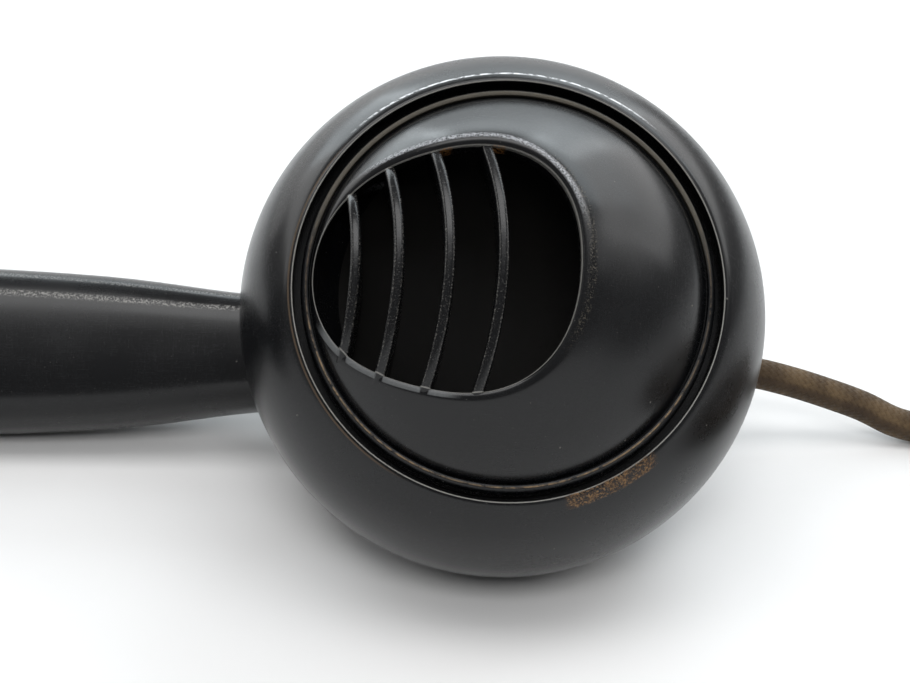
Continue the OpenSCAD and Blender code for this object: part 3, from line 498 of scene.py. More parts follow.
def mouthpiece_wear_and_light(f, spot):
    """Grime on the flange's bead, dust with painted light on its upper shelf, worn edges round the opening
    and on the ribs, a worn ridge with a painted highlight, lighter segments low on the opening's edge, and
    rust.
    """
    x, y, z = f.split(spot)
    around, off_axis = y.angle(x), (x * x + y * y) ** 0.5
    blotches = f.noise(spot, 0.9, 5, 0.7)
    fine = f.noise(spot, 4.5, 4, 0.7)
    upper = sector(f, around, 90, 62, 25)
    bead = f.band(off_axis, BEAD_R, 0.04, 0.1) * f.fade(z, 14.9, 15.2)
    sides = sector(f, around, -62, 24, 22) + sector(f, around, 224, 20, 20)
    bead = bead * (sides * 0.75 + 0.22) * f.fade(blotches, 0.36, 0.6)
    # Dust on the shelf beside the bead, with painted light: it is pale on the upper half only.
    shelf_dust_and_light = f.band(off_axis, BEAD_R - 0.02, 0.26, 0.1) * f.fade(z, 14.7, 15) * upper
    shelf_dust_and_light = shelf_dust_and_light * f.spread(fine, 0.35, 0.9)
    khaki = f.mix(fine, (0.06, 0.036, 0.018), (0.26, 0.18, 0.1))
    skin = z - (DOME_R ** 2 - (x * x + y * y)) ** 0.5 - dome_mid
    on_skin = f.fade(skin, -0.95, -0.75)
    u, v = x - OPENING_C[0], y - OPENING_C[1]
    heading, out = v.angle(u), (u * u + v * v) ** 0.5
    beyond = out - opening_at(heading, Wire.cosine)
    # Worn hood ridge beside the opening, with a painted pale highlight along its upper right.
    crest = beyond - sector(f, heading, 98, 25, 35) * 0.5
    ridge = f.band(crest, 0.35, 0.12, 0.3) * sector(f, heading, 75, 38, 22)
    ridge = ridge * f.fade(fine, 0.36, 0.62) * 0.85
    flank = f.band(beyond, 0.85, 0.2, 0.5) * sector(f, heading, 15, 30, 25) * f.fade(fine, 0.5, 0.66)
    flank = flank * f.fade(blotches, 0.35, 0.6) * 0.45
    edge_at = beyond + inset_at(heading, Wire.cosine)
    rim = f.band(edge_at, 0.04, 0.05, 0.07) * f.spread(fine, 0.25, 0.9) * on_skin
    # Lighter segments along the opening's lower-left edge, between the ribs.
    low_rim = f.band(edge_at, 0.4, 0.25, 0.15) * sector(f, heading, -118, 30, 10) * on_skin
    low_rim = low_rim * f.spread(fine, 0.4, 1)
    inside = f.fade(0 - edge_at, -0.15, 0.05)
    c, s = math.cos(RIB_TILT), math.sin(RIB_TILT)
    along, across = u * c + v * s + OPENING_C[0], v * c - u * s + OPENING_C[1]
    nearest = None
    for centre in rib_centres:
        from_rib = abs(((along - centre) ** 2 + across * across) ** 0.5 - RIB_BOW)
        nearest = from_rib if nearest is None else nearest.smaller(from_rib)
    low_rim = low_rim * f.fade(nearest, 0.35, 0.6)
    front = f.fade(skin, -1.4, -1.1) * inside
    rib_edge = f.band(nearest, 0.45, 0.03, 0.09) * front * f.fade(fine, 0.45, 0.7) * 0.4
    rib_dust = (1 - f.fade(nearest, 0.5, 0.62)) * front * f.fade(fine, 0.56, 0.7) * 0.3
    rust = 0
    for rust_x, rust_y in RUST_SPOTS:
        rust = rust + (1 - f.fade(((x - rust_x) ** 2 + (y - rust_y) ** 2) ** 0.5, 0.35, 0.95))
    rust = rust * f.fade(f.noise(spot, 3.4, 4, 0.7), 0.47, 0.55) * inside
    return [(bead, khaki, 0.8), (shelf_dust_and_light, (0.07, 0.062, 0.048), 0.6), (ridge, (0.36, 0.37, 0.39), 0.5),
            (flank, (0.17, 0.15, 0.115), 0.6), (rim, (0.22, 0.215, 0.2), 0.3),
            (low_rim, (0.1, 0.104, 0.106), 0.3), (rib_edge, (0.2, 0.19, 0.17), 0.3),
            (rib_dust, (0.12, 0.115, 0.105), 0.6), (rust, (0.38, 0.17, 0.045), 1)]


def braid(name, light, dark, stripe_shade, strands, pitch):
    """Cotton braid on the piece's UV map: U in millimetres along it, V once round it."""
    f = Finish(name, specular_ior_level=0.2, sheen_weight=0.12, sheen_roughness=0.5)
    u, v, _ = f.split(f.node("ShaderNodeUVMap", {"uv_map": "braid"}))
    a, b = u / pitch + v * strands, u / pitch - v * strands
    over = ((a.whole() + b.whole()) * 0.5).part() * 2
    ridge_a, ridge_b = (a.part() * math.pi).sine(), (b.part() * math.pi).sine()
    height = ridge_a * over + ridge_b * (1 - over)
    yarn = ((a * 5).part() * over + (b * 5).part() * (1 - over))
    spot = f.place()
    patches = f.noise(spot, 0.22, 4, 0.6)
    fuzz = f.noise(spot, 7, 3, 0.7)
    tone = f.fade(patches, 0.36, 0.66) * 0.6 + fuzz * 0.4
    colour = f.mix(tone, dark, light)
    wander = f.noise(spot, 0.35, 2) * 0.05
    # Painted shade: a darker stripe along one side of the braid, a little below its middle.
    painted_shade_stripe = f.band(v + wander, 0.53, 0.035, 0.05)
    colour = f.mix(painted_shade_stripe * 0.5, colour, stripe_shade)
    # Painted shade in the hollows between the strands.
    colour = f.mix((1 - height) * 0.18, colour, [c * 0.4 for c in dark])
    f.set("Base Color", colour).set("Roughness", f.spread(fuzz, 0.75, 0.95))
    f.bump(height * 0.8 + yarn * 0.12 + fuzz * 0.35, 0.16, 0.6)
    return f


def metal(name, colour, dull, roughness, tarnish=0.4, metallic=1.0):
    """Bare metal with tarnish in patches and fine tool marks."""
    f = Finish(name, metallic=metallic)
    spot = f.place()
    patches = f.fade(f.noise(spot, 0.3, 5, 0.6), 0.4, 0.72)
    marks = f.noise(f.place(None, (0.3, 4, 4)), 1.2, 3)
    f.set("Base Color", f.mix(patches * tarnish + marks * 0.08, colour, dull))
    f.set("Roughness", f.spread(patches * 0.6 + marks * 0.4, roughness, roughness + 0.25))
    f.bump(marks, 0.03, 0.5)
    return f


def dull_stuff(name, light, dark, scale, roughness=0.8, grain=0.08):
    """Fibre, rubber, board, carbon or moulded block: matt, with a grain."""
    f = Finish(name, specular_ior_level=0.3)
    spot = f.place()
    coarse, fine = f.noise(spot, scale * 0.3, 4, 0.6), f.noise(spot, scale, 4, 0.7)
    f.set("Base Color", f.mix(coarse * 0.6 + fine * 0.4, dark, light))
    f.set("Roughness", f.spread(fine, roughness - 0.12, roughness + 0.1))
    f.bump(fine, grain, 0.7)
    return f


def wound(name, colour, dark, turns_per_mm):
    """Fine enamelled wire, wound in close turns about the receiver's axis."""
    f = Finish(name, coat_weight=0.6, coat_roughness=0.15)
    _, _, z = f.split(f.place(ear_frame))
    ridge = (z * turns_per_mm * math.pi).sine()
    patches = f.noise(f.place(), 0.8, 3)
    # Painted shade in the grooves between the turns of wire.
    f.set("Base Color", f.mix(abs(ridge) * 0.7 + patches * 0.3, dark, colour))
    f.set("Roughness", f.spread(patches, 0.3, 0.5)).bump(abs(ridge), 0.05, 0.7)
    return f


body_finish = phenolic("handset_phenolic", mouth_frame, handset_wear_and_glints)
mouth_finish = phenolic("mouthpiece_phenolic", turned_frame, mouthpiece_wear_and_light)
ear_finish = phenolic("ear_cap_phenolic", ear_frame)
# The last colour of each braid is its painted shade stripe.
cord_finish = braid("cord_braid", (0.115, 0.077, 0.04), (0.036, 0.023, 0.013),
                    (0.022, 0.013, 0.01), 16, 1.1)
conductor_finish = braid("conductor_braid", (0.36, 0.1, 0.07), (0.17, 0.05, 0.04),
                         (0.1, 0.03, 0.03), 6, 0.8)
thread_finish = dull_stuff("binding_thread", (0.075, 0.052, 0.034), (0.03, 0.02, 0.014), 9, 0.75)
rubber = dull_stuff("black_rubber", (0.035, 0.034, 0.033), (0.016, 0.016, 0.016), 3, 0.7)
brass = metal("turned_brass", (0.7, 0.5, 0.2), (0.3, 0.2, 0.09), 0.24)
tag_brass = metal("tag_brass", (0.66, 0.47, 0.2), (0.24, 0.16, 0.08), 0.32, 0.6)
INNER = {
    "washer_fibre": (dull_stuff("washer_fibre", (0.05, 0.042, 0.034), (0.02, 0.017, 0.014), 5),
                     ["mouthpiece_washer", "ear_washer"]),
    "oiled_silk": (dull_stuff("oiled_silk", (0.005, 0.0045, 0.004), (0.002, 0.002, 0.002), 12, 0.8),
                   ["moisture_membrane"]),
    "spring_brass": (metal("spring_brass", (0.74, 0.55, 0.24), (0.36, 0.24, 0.1), 0.2),
                     ["membrane_ring", "centre_contact_spring", "rim_contact_spring"]),
    "black_rubber": (rubber, ["capsule_gasket"]),
    "tinned_steel": (metal("tinned_steel", (0.62, 0.62, 0.61), (0.36, 0.35, 0.33), 0.28),
                     ["capsule_front_plate", "capsule_case", "diaphragm_spacer",
                      "diaphragm_clamp_ring", "receiver_case"]),
    "aluminium_sheet": (metal("aluminium_sheet", (0.78, 0.78, 0.79), (0.5, 0.5, 0.5), 0.3),
                        ["transmitter_diaphragm"]),
    "electrode_carbon": (dull_stuff("electrode_carbon", (0.05, 0.05, 0.052), (0.02, 0.02, 0.02), 4, 0.45),
                         ["moving_electrode"]),
    "granule_carbon": (dull_stuff("granule_carbon", (0.06, 0.06, 0.062), (0.008, 0.008, 0.008),
                                  14, 0.6, 0.3),
                       ["carbon_granules"]),
    "turned_brass": (brass, ["carbon_chamber", "back_electrode", "electrode_nut", "terminal_screws",
                             "cord_ferrule", "receiver_terminal_screws"]),
    "red_fibre": (dull_stuff("red_fibre", (0.34, 0.09, 0.05), (0.2, 0.045, 0.03), 6),
                  ["insulating_washer"]),
    "brown_phenolic": (dull_stuff("brown_phenolic", (0.12, 0.045, 0.026), (0.05, 0.018, 0.012), 2, 0.45),
                       ["terminal_block", "receiver_terminal_plate"]),
    "zinc_steel": (metal("zinc_steel", (0.56, 0.56, 0.54), (0.3, 0.29, 0.27), 0.3),
                   ["block_screws", "magnet_screws"]),
    "wire_braid": (dull_stuff("wire_braid", (0.3, 0.09, 0.06), (0.12, 0.035, 0.03), 8),
                   ["transmitter_wires", "receiver_wires"]),
    "cord_braid": (dull_stuff("cord_inside", (0.3, 0.2, 0.11), (0.1, 0.065, 0.04), 5), ["cord_entry"]),
    "magnet_steel": (metal("magnet_steel", (0.2, 0.2, 0.21), (0.08, 0.08, 0.085), 0.4),
                     ["receiver_magnet"]),
    "soft_iron": (metal("soft_iron", (0.32, 0.32, 0.33), (0.12, 0.11, 0.1), 0.35),
                  ["pole_pieces", "receiver_diaphragm"]),
    "bobbin_board": (dull_stuff("bobbin_board", (0.55, 0.43, 0.26), (0.34, 0.25, 0.14), 4, 0.6),
                     ["coil_bobbins"]),
    "enamelled_copper": (wound("enamelled_copper", (0.42, 0.13, 0.06), (0.14, 0.04, 0.02), 5),
                         ["coil_windings"]),
}
for finish, members in INNER.values():
    for member in members:
        nodes[member].data.materials.clear()
        nodes[member].data.materials.append(finish.material)

# ------------------------------------------------------------------ the cord's route
CORD_D = 4.4
CORD_R = CORD_D / 2
COIL_CENTRE, COIL_R, COIL_PITCH, COIL_TURNS = (174, -16), 33, 4.95, 3.25
COIL_LAYERS = (CORD_R, CORD_R + 4.9)
LEAD = [(115, 18.4, 11.3), (118, 18.7, 10.6), (123, 19.1, 9), (128, 19.1, 7.3), (133, 19.1, 5.35),
        (138, 18.5, 3.1), (143, 17.9, 2.35), (150, 17.4, 2.2), (158, 17.1, 2.2)]
TAIL = [(186, 17, 6.8), (194, 16.6, 5), (202, 15.4, 3.4), (210, 13, 2.7), (218, 9, 2.7), (225, 4, 2.7)]
BINDING_START, BINDING_TURN, BINDING_L = (230, 0, 2.7), math.radians(-40), 12
binding_dir = np.array((math.cos(BINDING_TURN), math.sin(BINDING_TURN), 0))


def on_neck(distance):
    return np.array(neck_frame @ Vector((0, 0, distance * MM))) / MM


def coil_at(a):
    """The coil's centreline, a degrees on: inwards on the table, up, and outwards again."""
    inner = COIL_TURNS * 360
    inward, outward = min(a, inner + 90), max(a - inner - 90, 0)
    climb = min(max((a - inner) / 180, 0), 1)
    r = COIL_R - COIL_PITCH * (inward - outward) / 360
    direction = math.radians(90 - a)
    return np.array((COIL_CENTRE[0] + r * math.cos(direction), COIL_CENTRE[1] + r * math.sin(direction),
                     COIL_LAYERS[0] + (COIL_LAYERS[1] - COIL_LAYERS[0]) * climb))


ahead = np.array((CORD_D, 0, 0))
coil_end = (2 * COIL_TURNS + 0.5) * 360
COIL_STEP = 7.5
lead = [on_neck(NECK_END + BUSH_OUT), on_neck(NECK_END + BUSH_OUT + CORD_D), *LEAD,
        coil_at(0) - 2 * ahead, coil_at(0) - ahead]
coil = [coil_at(COIL_STEP * k) for k in range(int(coil_end / COIL_STEP) + 1)]
tail = [coil_at(coil_end) + ahead, coil_at(coil_end) + 2 * ahead, *TAIL,
        np.array(BINDING_START) - CORD_D * binding_dir, BINDING_START]
route = smooth_rows(lead, 6) + coil + smooth_rows(tail, 6)


def tube(name, points, radius, sides):
    """A tube swept along points, with a UV map in millimetres along it."""
    points = np.array(points, float)
    ahead_of = np.gradient(points, axis=0)
    ahead_of /= np.linalg.norm(ahead_of, axis=1)[:, None]
    side = np.cross((0, 0, 1), ahead_of)
    side /= np.linalg.norm(side, axis=1)[:, None]
    over = np.cross(ahead_of, side)
    lengths = np.concatenate([[0], np.cumsum(np.linalg.norm(np.diff(points, axis=0), axis=1))])

    def place(column, row):
        a = TURN * (column % sides) / sides
        return points[row] + radius * (math.cos(a) * side[row] + math.sin(a) * over[row])

    obj = woven_grid(name, sides, len(points) - 1, place)
    layer = obj.data.uv_layers[0]
    layer.name = "braid"
    uv = np.zeros(len(layer.data) * 2, np.float32)
    layer.data.foreach_get("uv", uv)
    uv = uv.reshape(-1, 2)
    share = uv[:, 0].copy()
    uv[:, 0] = lengths[np.rint(uv[:, 1] * (len(points) - 1)).astype(int)]
    uv[:, 1] = share
    layer.data.foreach_set("uv", uv.ravel())
    merge_doubles(obj)
    close_ends(obj)
    return smooth(settle(obj, Matrix.Identity(4)), 60)


cord = tube("braided_cord", route, CORD_R, 20)
dress(cord, cord_finish, "handset", "cord_braid", "cord_lead", "cord_coil", "cord_tail")

# ------------------------------------------------------------------ the cord's far end
binding_frame = (Matrix.Translation(Vector(BINDING_START) * MM)
                 @ Matrix.Rotation(BINDING_TURN, 4, "Z") @ Matrix.Rotation(math.pi / 2, 4, "Y"))
BINDING_R, THREAD_TURNS = 2.6, 20


def whipping_outline():
    """A sleeve with a rounded turn of thread every fraction of a millimetre."""
    step = BINDING_L / THREAD_TURNS
    outline = [(0, 0), (CORD_R * 0.9, 0)]
    for k in range(THREAD_TURNS):
        outline += arc((BINDING_R - step / 2, (k + 0.5) * step), step / 2, -75, 75, 5)
    return outline + [(CORD_R * 0.9, BINDING_L), (0, BINDING_L)]


binding = smooth(settle(turned("end_binding", whipping_outline(), 48), binding_frame), 60)
dress(binding, thread_finish, "handset", "binding_thread", "cord_end_binding")

CONDUCTOR_R, CONDUCTOR_PITCH, CONDUCTOR_L, CONDUCTOR_SPREAD = 0.75, 1.65, 24, math.radians(22)
TAG_BARREL_R = 1.3
binding_end = np.array(BINDING_START) + BINDING_L * binding_dir
sideways = np.array((-math.sin(BINDING_TURN), math.cos(BINDING_TURN), 0))
for k in (-1, 0, 1):
    heading = BINDING_TURN + k * CONDUCTOR_SPREAD
    fan = np.array((math.cos(heading), math.sin(heading), 0))
    start = binding_end + CONDUCTOR_PITCH * k * sideways
    end = start + CONDUCTOR_L * fan + (0, 0, TAG_BARREL_R - BINDING_START[2])
    points = [start, start + 3 * binding_dir - (0, 0, 0.1),
              start * 0.55 + end * 0.45 + 1.5 * (binding_dir - fan), end - 3 * fan, end]
    wire = tube(f"conductor_{k + 2}", smooth_rows(points, 10), CONDUCTOR_R, 14)
    dress(wire, conductor_finish, "handset", "conductor_braid")
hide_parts("tail_conductors")
nodes["ring_tags"].data.materials.clear()
nodes["ring_tags"].data.materials.append(tag_brass.material)

Vector(route[0]) * MM
[Vector(p) * MM for p in route]

# ------------------------------------------------------------------ handset body
CUP_R, CUP_BACK_R, CUP_SHOULDER_R, CUP_WALL = 33.25, 26, 20, 4
THREAD_R, GROOVE_R, CAPSULE_SEAT, BORE_R, FLOOR = 23.2, 25.8, 1.4, 21.5, -19
WELL_R, WELL_FLOOR = 4.5, -25.7
lip_angle = math.degrees(math.asin(LIP_H / CUP_SHOULDER_R))
lip_r = CUP_R - CUP_SHOULDER_R + CUP_SHOULDER_R * math.cos(math.radians(lip_angle))
cup = turned("handset_body", [(0, -CUP_BACK_R)] + arc((CUP_R - CUP_BACK_R, 0), CUP_BACK_R, -90, 0, 40)
             + arc((CUP_R - CUP_SHOULDER_R, 0), CUP_SHOULDER_R, 0, lip_angle - 0.8, 24)[1:]
             + [(lip_r - 0.12, LIP_H), (0, LIP_H)], 160)

EAR_R, EAR_BACK_R, EAR_SHOULDER_R, EAR_THREAD_R, EAR_LEDGE, EAR_FLOOR = 30, 23, 20, 25, -5, -15
EAR_BORE_R = EAR_THREAD_R - 1
ear_angle = math.degrees(math.asin(EAR_RIM / EAR_SHOULDER_R))
ear_cup = turned("ear_cup", [(0, -EAR_BACK_R)] + arc((EAR_R - EAR_BACK_R, 0), EAR_BACK_R, -90, 0, 36)
                 + arc((EAR_R - EAR_SHOULDER_R, 0), EAR_SHOULDER_R, 0, ear_angle, 8)[1:]
                 + [(0, EAR_RIM)], 144)
ear_to_mouth = Matrix.Scale(1 / MM, 4) @ ear_in_mouth @ Matrix.Scale(MM, 4)
move(ear_cup, ear_to_mouth)

# The handle is drawn out station by station: distance from the mouthpiece's axis,
# depth, half width and half depth.
grip_mid = -CUP_SPACING / 2
MID_SHARE = 0.28
quarter = MID_SHARE * (CUP_SPACING - 2 * CUP_R)
back_edge = max(-(mouth_frame.inverted() @ v.co).z / MM for v in nodes["handset_body"].data.vertices
                if abs((mouth_frame.inverted() @ v.co).x / MM - grip_mid) < 6)
grip_depth = back_edge - GRIP_HD
grip_stations = [
    (-CUP_SPACING - 6, 22, 5, 4), (-CUP_SPACING, 25, 6.4, 5.6), (-CUP_SPACING + 13, 26.6, 7.7, 7.2),
    (-CUP_SPACING + CUP_R, grip_depth - 1.6, NECK_HW, NECK_HD),
    (grip_mid - quarter, grip_depth - 0.4, GRIP_HW - 1.1, GRIP_HD - 0.3),
    (grip_mid, grip_depth, GRIP_HW, GRIP_HD),
    (grip_mid + quarter, grip_depth - 0.4, GRIP_HW - 1.1, GRIP_HD - 0.3),
    (-CUP_R, grip_depth - 1.8, NECK_HW, NECK_HD),
    (-17, 26.8, 7.7, 7.2), (0, 25.4, 6.8, 6.2), (14, 26.2, 5.8, 5.6)]


def grip_outline():
    """The handle's outline for a half width and half depth of 1: squared front, round back."""
    share = 2 / GRIP_POWER
    front = [(math.copysign(abs(math.cos(a)) ** share, math.cos(a)), max(math.sin(a), 0) ** share)
             for a in np.linspace(0, math.pi, 61)]
    return front + [(math.cos(a), math.sin(a)) for a in np.linspace(math.pi, TURN, 33)[1:-1]]


grip_stations = smooth_rows(grip_stations, 6)
outline = grip_outline()


def on_grip(column, row):
    x, depth, half_width, half_depth = grip_stations[row]
    across, deep = outline[column % len(outline)]
    return x, across * half_width, deep * half_depth - depth


handle = woven_grid("handle", len(outline), len(grip_stations) - 1, on_grip, True)
close_ends(handle)
face_outwards(handle)

in_mouth = Matrix.Scale(1 / MM, 4) @ mouth_frame.inverted() @ neck_frame @ Matrix.Scale(MM, 4)
NECK_ROOT_R, NECK_END_R, NECK_ROUND = 6.4, 5.2, 0.8
neck = turned("neck", rounded([(0, 0), (NECK_ROOT_R, 0), (NECK_END_R, NECK_END, NECK_ROUND),
                               (0, NECK_END)]), 64)
move(neck, in_mouth)
combine(cup, [ear_cup, handle, neck], "UNION")

BACK_INNER = CUP_BACK_R - CUP_WALL
floor_r = CUP_R - CUP_BACK_R + math.sqrt(BACK_INNER ** 2 - FLOOR ** 2)
LIP_ROUND, CUT_PAST = 0.2, 3              # a cut ends this far past the face that it opens
over = LIP_H + CUT_PAST
hollow = turned("hollow", [(0, WELL_FLOOR), (WELL_R, WELL_FLOOR), (WELL_R, FLOOR), (floor_r, FLOOR)]
                + [(x, z) for x, z in arc((CUP_R - CUP_BACK_R, 0), BACK_INNER,
                                          math.degrees(math.asin(FLOOR / BACK_INNER)), -49, 4)
                   if x < BORE_R][1:]
                + [(BORE_R, -15), (BORE_R, CAPSULE_SEAT), (THREAD_R, CAPSULE_SEAT), (THREAD_R, LEDGE),
                   (GROOVE_R, LEDGE), (GROOVE_R, LIP_H - LIP_ROUND)]
                + arc((GROOVE_R + LIP_ROUND, LIP_H - LIP_ROUND), LIP_ROUND, 180, 90, 5)[1:]
                + [(GROOVE_R + LIP_ROUND + 1, over), (0, over)], 160)
ear_inner = EAR_BACK_R - CUP_WALL
ear_hollow = turned("ear_hollow", [(0, EAR_FLOOR)]
                    + arc((EAR_R - EAR_BACK_R, 0), ear_inner,
                          math.degrees(math.asin(EAR_FLOOR / ear_inner)), -27, 6)
                    + [(EAR_BORE_R, EAR_LEDGE), (EAR_THREAD_R, EAR_LEDGE),
                       (EAR_THREAD_R, EAR_RIM + CUT_PAST), (0, EAR_RIM + CUT_PAST)], 144)
move(ear_hollow, ear_to_mouth)
PASSAGE_R, PASSAGE_START, PASSAGE_CROSSING = 3, 2.4, 7
EAR_WELL_R, EAR_WELL_Y, EAR_WELL_DEPTH = 3.2, 5, 4.5


def from_ear(y, z):
    """A point of the receiver's frame in the mouthpiece's."""
    return ear_in_mouth @ Vector((0, y * MM, z * MM)) / MM


passages = [
    bar("passage_a", (PASSAGE_START, 0, NECK_ROOT), (grip_mid, 0, -grip_depth), PASSAGE_R),
    bar("passage_b", from_ear(0, EAR_FLOOR - EAR_WELL_DEPTH),
        (grip_mid + PASSAGE_CROSSING, 0, -grip_depth - 0.4), PASSAGE_R - 0.25),
    bar("well_b", from_ear(EAR_WELL_Y, EAR_FLOOR - EAR_WELL_DEPTH),
        from_ear(EAR_WELL_Y, EAR_FLOOR + 1), EAR_WELL_R),
    bar("cord_bore", in_mouth @ Vector((0, 0, 0)), in_mouth @ Vector((0, 0, NECK_END + 1)), CORD_R + 0.6)]
combine(cup, [hollow, ear_hollow, *passages], "DIFFERENCE")
handset = smooth(settle(cup, mouth_frame), 30)
dress(handset, body_finish, "handset", "handset_phenolic", "handset_body")

# ------------------------------------------------------------------ mouthpiece
FLANGE_R, FLANGE_TOP, DOME_FOOT_R, DOME_T = 24.9, 15.5, 23.75, 2.4
FOOT_ROLL_R, FOOT_ROLL = 22.8, 0.45              # where the dome begins to roll off, and how far
HOOD_H, HOOD_FADE = 1.3, 4
RIM_SWEEP, RIM_EDGE = math.radians(58), 0.1     # rounding round the opening
RIB_DEPTH, RIB_EDGE = 7, 0.55


def dome_z(r, sphere=DOME_R):
    return dome_mid + math.sqrt(max(sphere * sphere - r * r, 0))


def hood_z(d, a):
    side = 0.5 + 0.5 * math.cos(a - math.radians(25))
    return HOOD_H * side ** 2 * math.exp(-(d / HOOD_FADE) ** 2)


def rim_height(a):
    """Height of the opening's edge."""
    inset = inset_at(a)
    edge = OPENING_C + (opening_at(a) - inset) * np.array((math.cos(a), math.sin(a)))
    return (dome_z(np.linalg.norm(edge)) + hood_z(-inset, a)
            - (RIM_W + inset) * math.tan(RIM_SWEEP / 2))


def foot_at(a):
    dot = OPENING_C @ (math.cos(a), math.sin(a))
    return -dot + math.sqrt(dot ** 2 + DOME_FOOT_R ** 2 - OPENING_C @ OPENING_C)


DOME_DIRECTIONS, RIM_STEPS, SKIN_STEPS = 180, 8, 18


def dome_section(a):
    """Closed section of the dome's wall in one direction from the opening's centre."""
    inset = inset_at(a)
    opening = opening_at(a) - inset
    width = foot_at(a) - opening
    rim = min(RIM_W, (width - inset) * 0.6) + inset
    radius = rim / math.sin(RIM_SWEEP)
    heading = np.array((math.cos(a), math.sin(a)))

    def at(d, z):
        return (*(OPENING_C + (opening + d) * heading), z)

    def off_axis(d):
        return np.linalg.norm(OPENING_C + (opening + d) * heading)

    def outer(d):
        roll = max(off_axis(d) - FOOT_ROLL_R, 0) / (DOME_FOOT_R - FOOT_ROLL_R)
        return dome_z(off_axis(d)) + hood_z(d - inset, a) - FOOT_ROLL * roll ** 2

    def inner(d):
        return max(dome_z(off_axis(d), DOME_R - DOME_T), FLANGE_UNDER + 1)

    points = []
    for k in range(SKIN_STEPS):
        d = rim + (width - rim) * (1 - k / SKIN_STEPS) ** 1.3
        points.append(at(d, outer(d)))
    for k in range(RIM_STEPS + 1):
        phi = RIM_SWEEP * k / RIM_STEPS
        points.append(at(rim - radius * math.sin(phi) * (1 - RIM_EDGE / 2 * (k == RIM_STEPS)),
                         outer(rim - radius * math.sin(phi)) - radius * (1 - math.cos(phi))))
    edge = points[-1][2]
    points.append(at(0, edge - RIM_EDGE))
    for k in range(7):
        d = width * (k / 6) ** 1.2
        points.append(at(d, min(inner(d), edge - RIM_EDGE - 0.2)))
    return points


sections = [dome_section(TURN * k / DOME_DIRECTIONS) for k in range(DOME_DIRECTIONS)]
loop = len(sections[0])
dome = woven_grid("mouthpiece", DOME_DIRECTIONS, loop,
                  lambda i, j: sections[i % DOME_DIRECTIONS][j % loop], True)
face_outwards(dome)

SKIRT_R, SKIRT_IN_R, SKIRT_END = 23.12, 20.92, 3.9
MEMBRANE_TOP = FLANGE_UNDER - 2.3
flange = turned("flange", rounded([
    (23.38, 13.9), (23.6, 14.7), (23.86, 14.72, 0.05), (23.93, FLANGE_TOP - 0.05, 0.1),
    (24.38, FLANGE_TOP, 0.14), (24.7, 15.1, 0.25), (FLANGE_R, 14.4, 0.3), (FLANGE_R, FLANGE_UNDER, 0.15),
    (SKIRT_R, FLANGE_UNDER), (SKIRT_R, SKIRT_END, 0.2), (SKIRT_IN_R, SKIRT_END, 0.2),
    (SKIRT_IN_R, MEMBRANE_TOP), (SKIRT_IN_R - 0.4, MEMBRANE_TOP), (SKIRT_IN_R, MEMBRANE_TOP + 0.6),
    (23.38, 13.9)], 4), 180)

RIB_LENGTH_STEPS = 40
tilt = np.array(((math.cos(RIB_TILT), -math.sin(RIB_TILT)), (math.sin(RIB_TILT), math.cos(RIB_TILT))))


def rib(number, centre_x):
    """One curved rib: a plate that follows the dome, its front flat with rounded edges."""
    half = RIB_T / 2
    front_points = [(-half, -2)] + arc((-half + RIB_EDGE, -RIB_EDGE), RIB_EDGE, 180, 90, 4) + arc(
        (half - RIB_EDGE, -RIB_EDGE), RIB_EDGE, 90, 0, 4) + [(half, -2)]

    def on_rib(y):
        """A point of the rib's middle line from the opening's centre, and the way across it."""
        along = np.array((math.sqrt(RIB_BOW ** 2 - y * y), y))
        return tilt @ (along + (centre_x, 0) - OPENING_C), tilt @ along / RIB_BOW

    def reach(step):
        """How far along the rib the opening's edge lies."""
        y = 0.0
        while True:
            point = on_rib(y)[0]
            a = math.atan2(point[1], point[0])
            if np.linalg.norm(point) > opening_at(a) - inset_at(a):
                return y
            y += step

    low_end, crossing = reach(-0.05) - RIM_W, reach(0.05)
    top_end = crossing + 0.35
    meeting = on_rib(crossing)[0]
    dip = (dome_z(np.linalg.norm(meeting + OPENING_C), DOME_R - 0.06)
           - rim_height(math.atan2(meeting[1], meeting[0])) + 0.03)

    def place(column, row):
        y = low_end + (top_end - low_end) * row / RIB_LENGTH_STEPS
        point, across = on_rib(y)
        x, y_out = point + OPENING_C
        off_axis = x * x + y_out * y_out
        lowered = dip * min(max((y - crossing + 3) / 3, 0), 1) ** 2
        front = dome_mid + math.sqrt((DOME_R - 0.06) ** 2 - off_axis) - lowered
        low = dome_mid + math.sqrt((DOME_R - RIB_DEPTH) ** 2 - min(off_axis, 400))
        j = column % (len(front_points) + 2)
        if j < len(front_points):
            side, height = front_points[j]
            height += front
        else:
            side = half if j == len(front_points) else -half
            height = max(low, MEMBRANE_TOP + 1.3)
        return x + side * across[0], y_out + side * across[1], height

    made = woven_grid(f"rib_{number}", len(front_points) + 2, RIB_LENGTH_STEPS, place, True)
    close_ends(made)
    face_outwards(made)
    return made


combine(dome, [flange] + [rib(k, centre_x) for k, centre_x in enumerate(rib_centres)], "UNION")
mouthpiece = smooth(settle(dome, turned_frame), 35)
dress(mouthpiece, mouth_finish, "mouthpiece", "mouthpiece_phenolic", "mouthpiece")

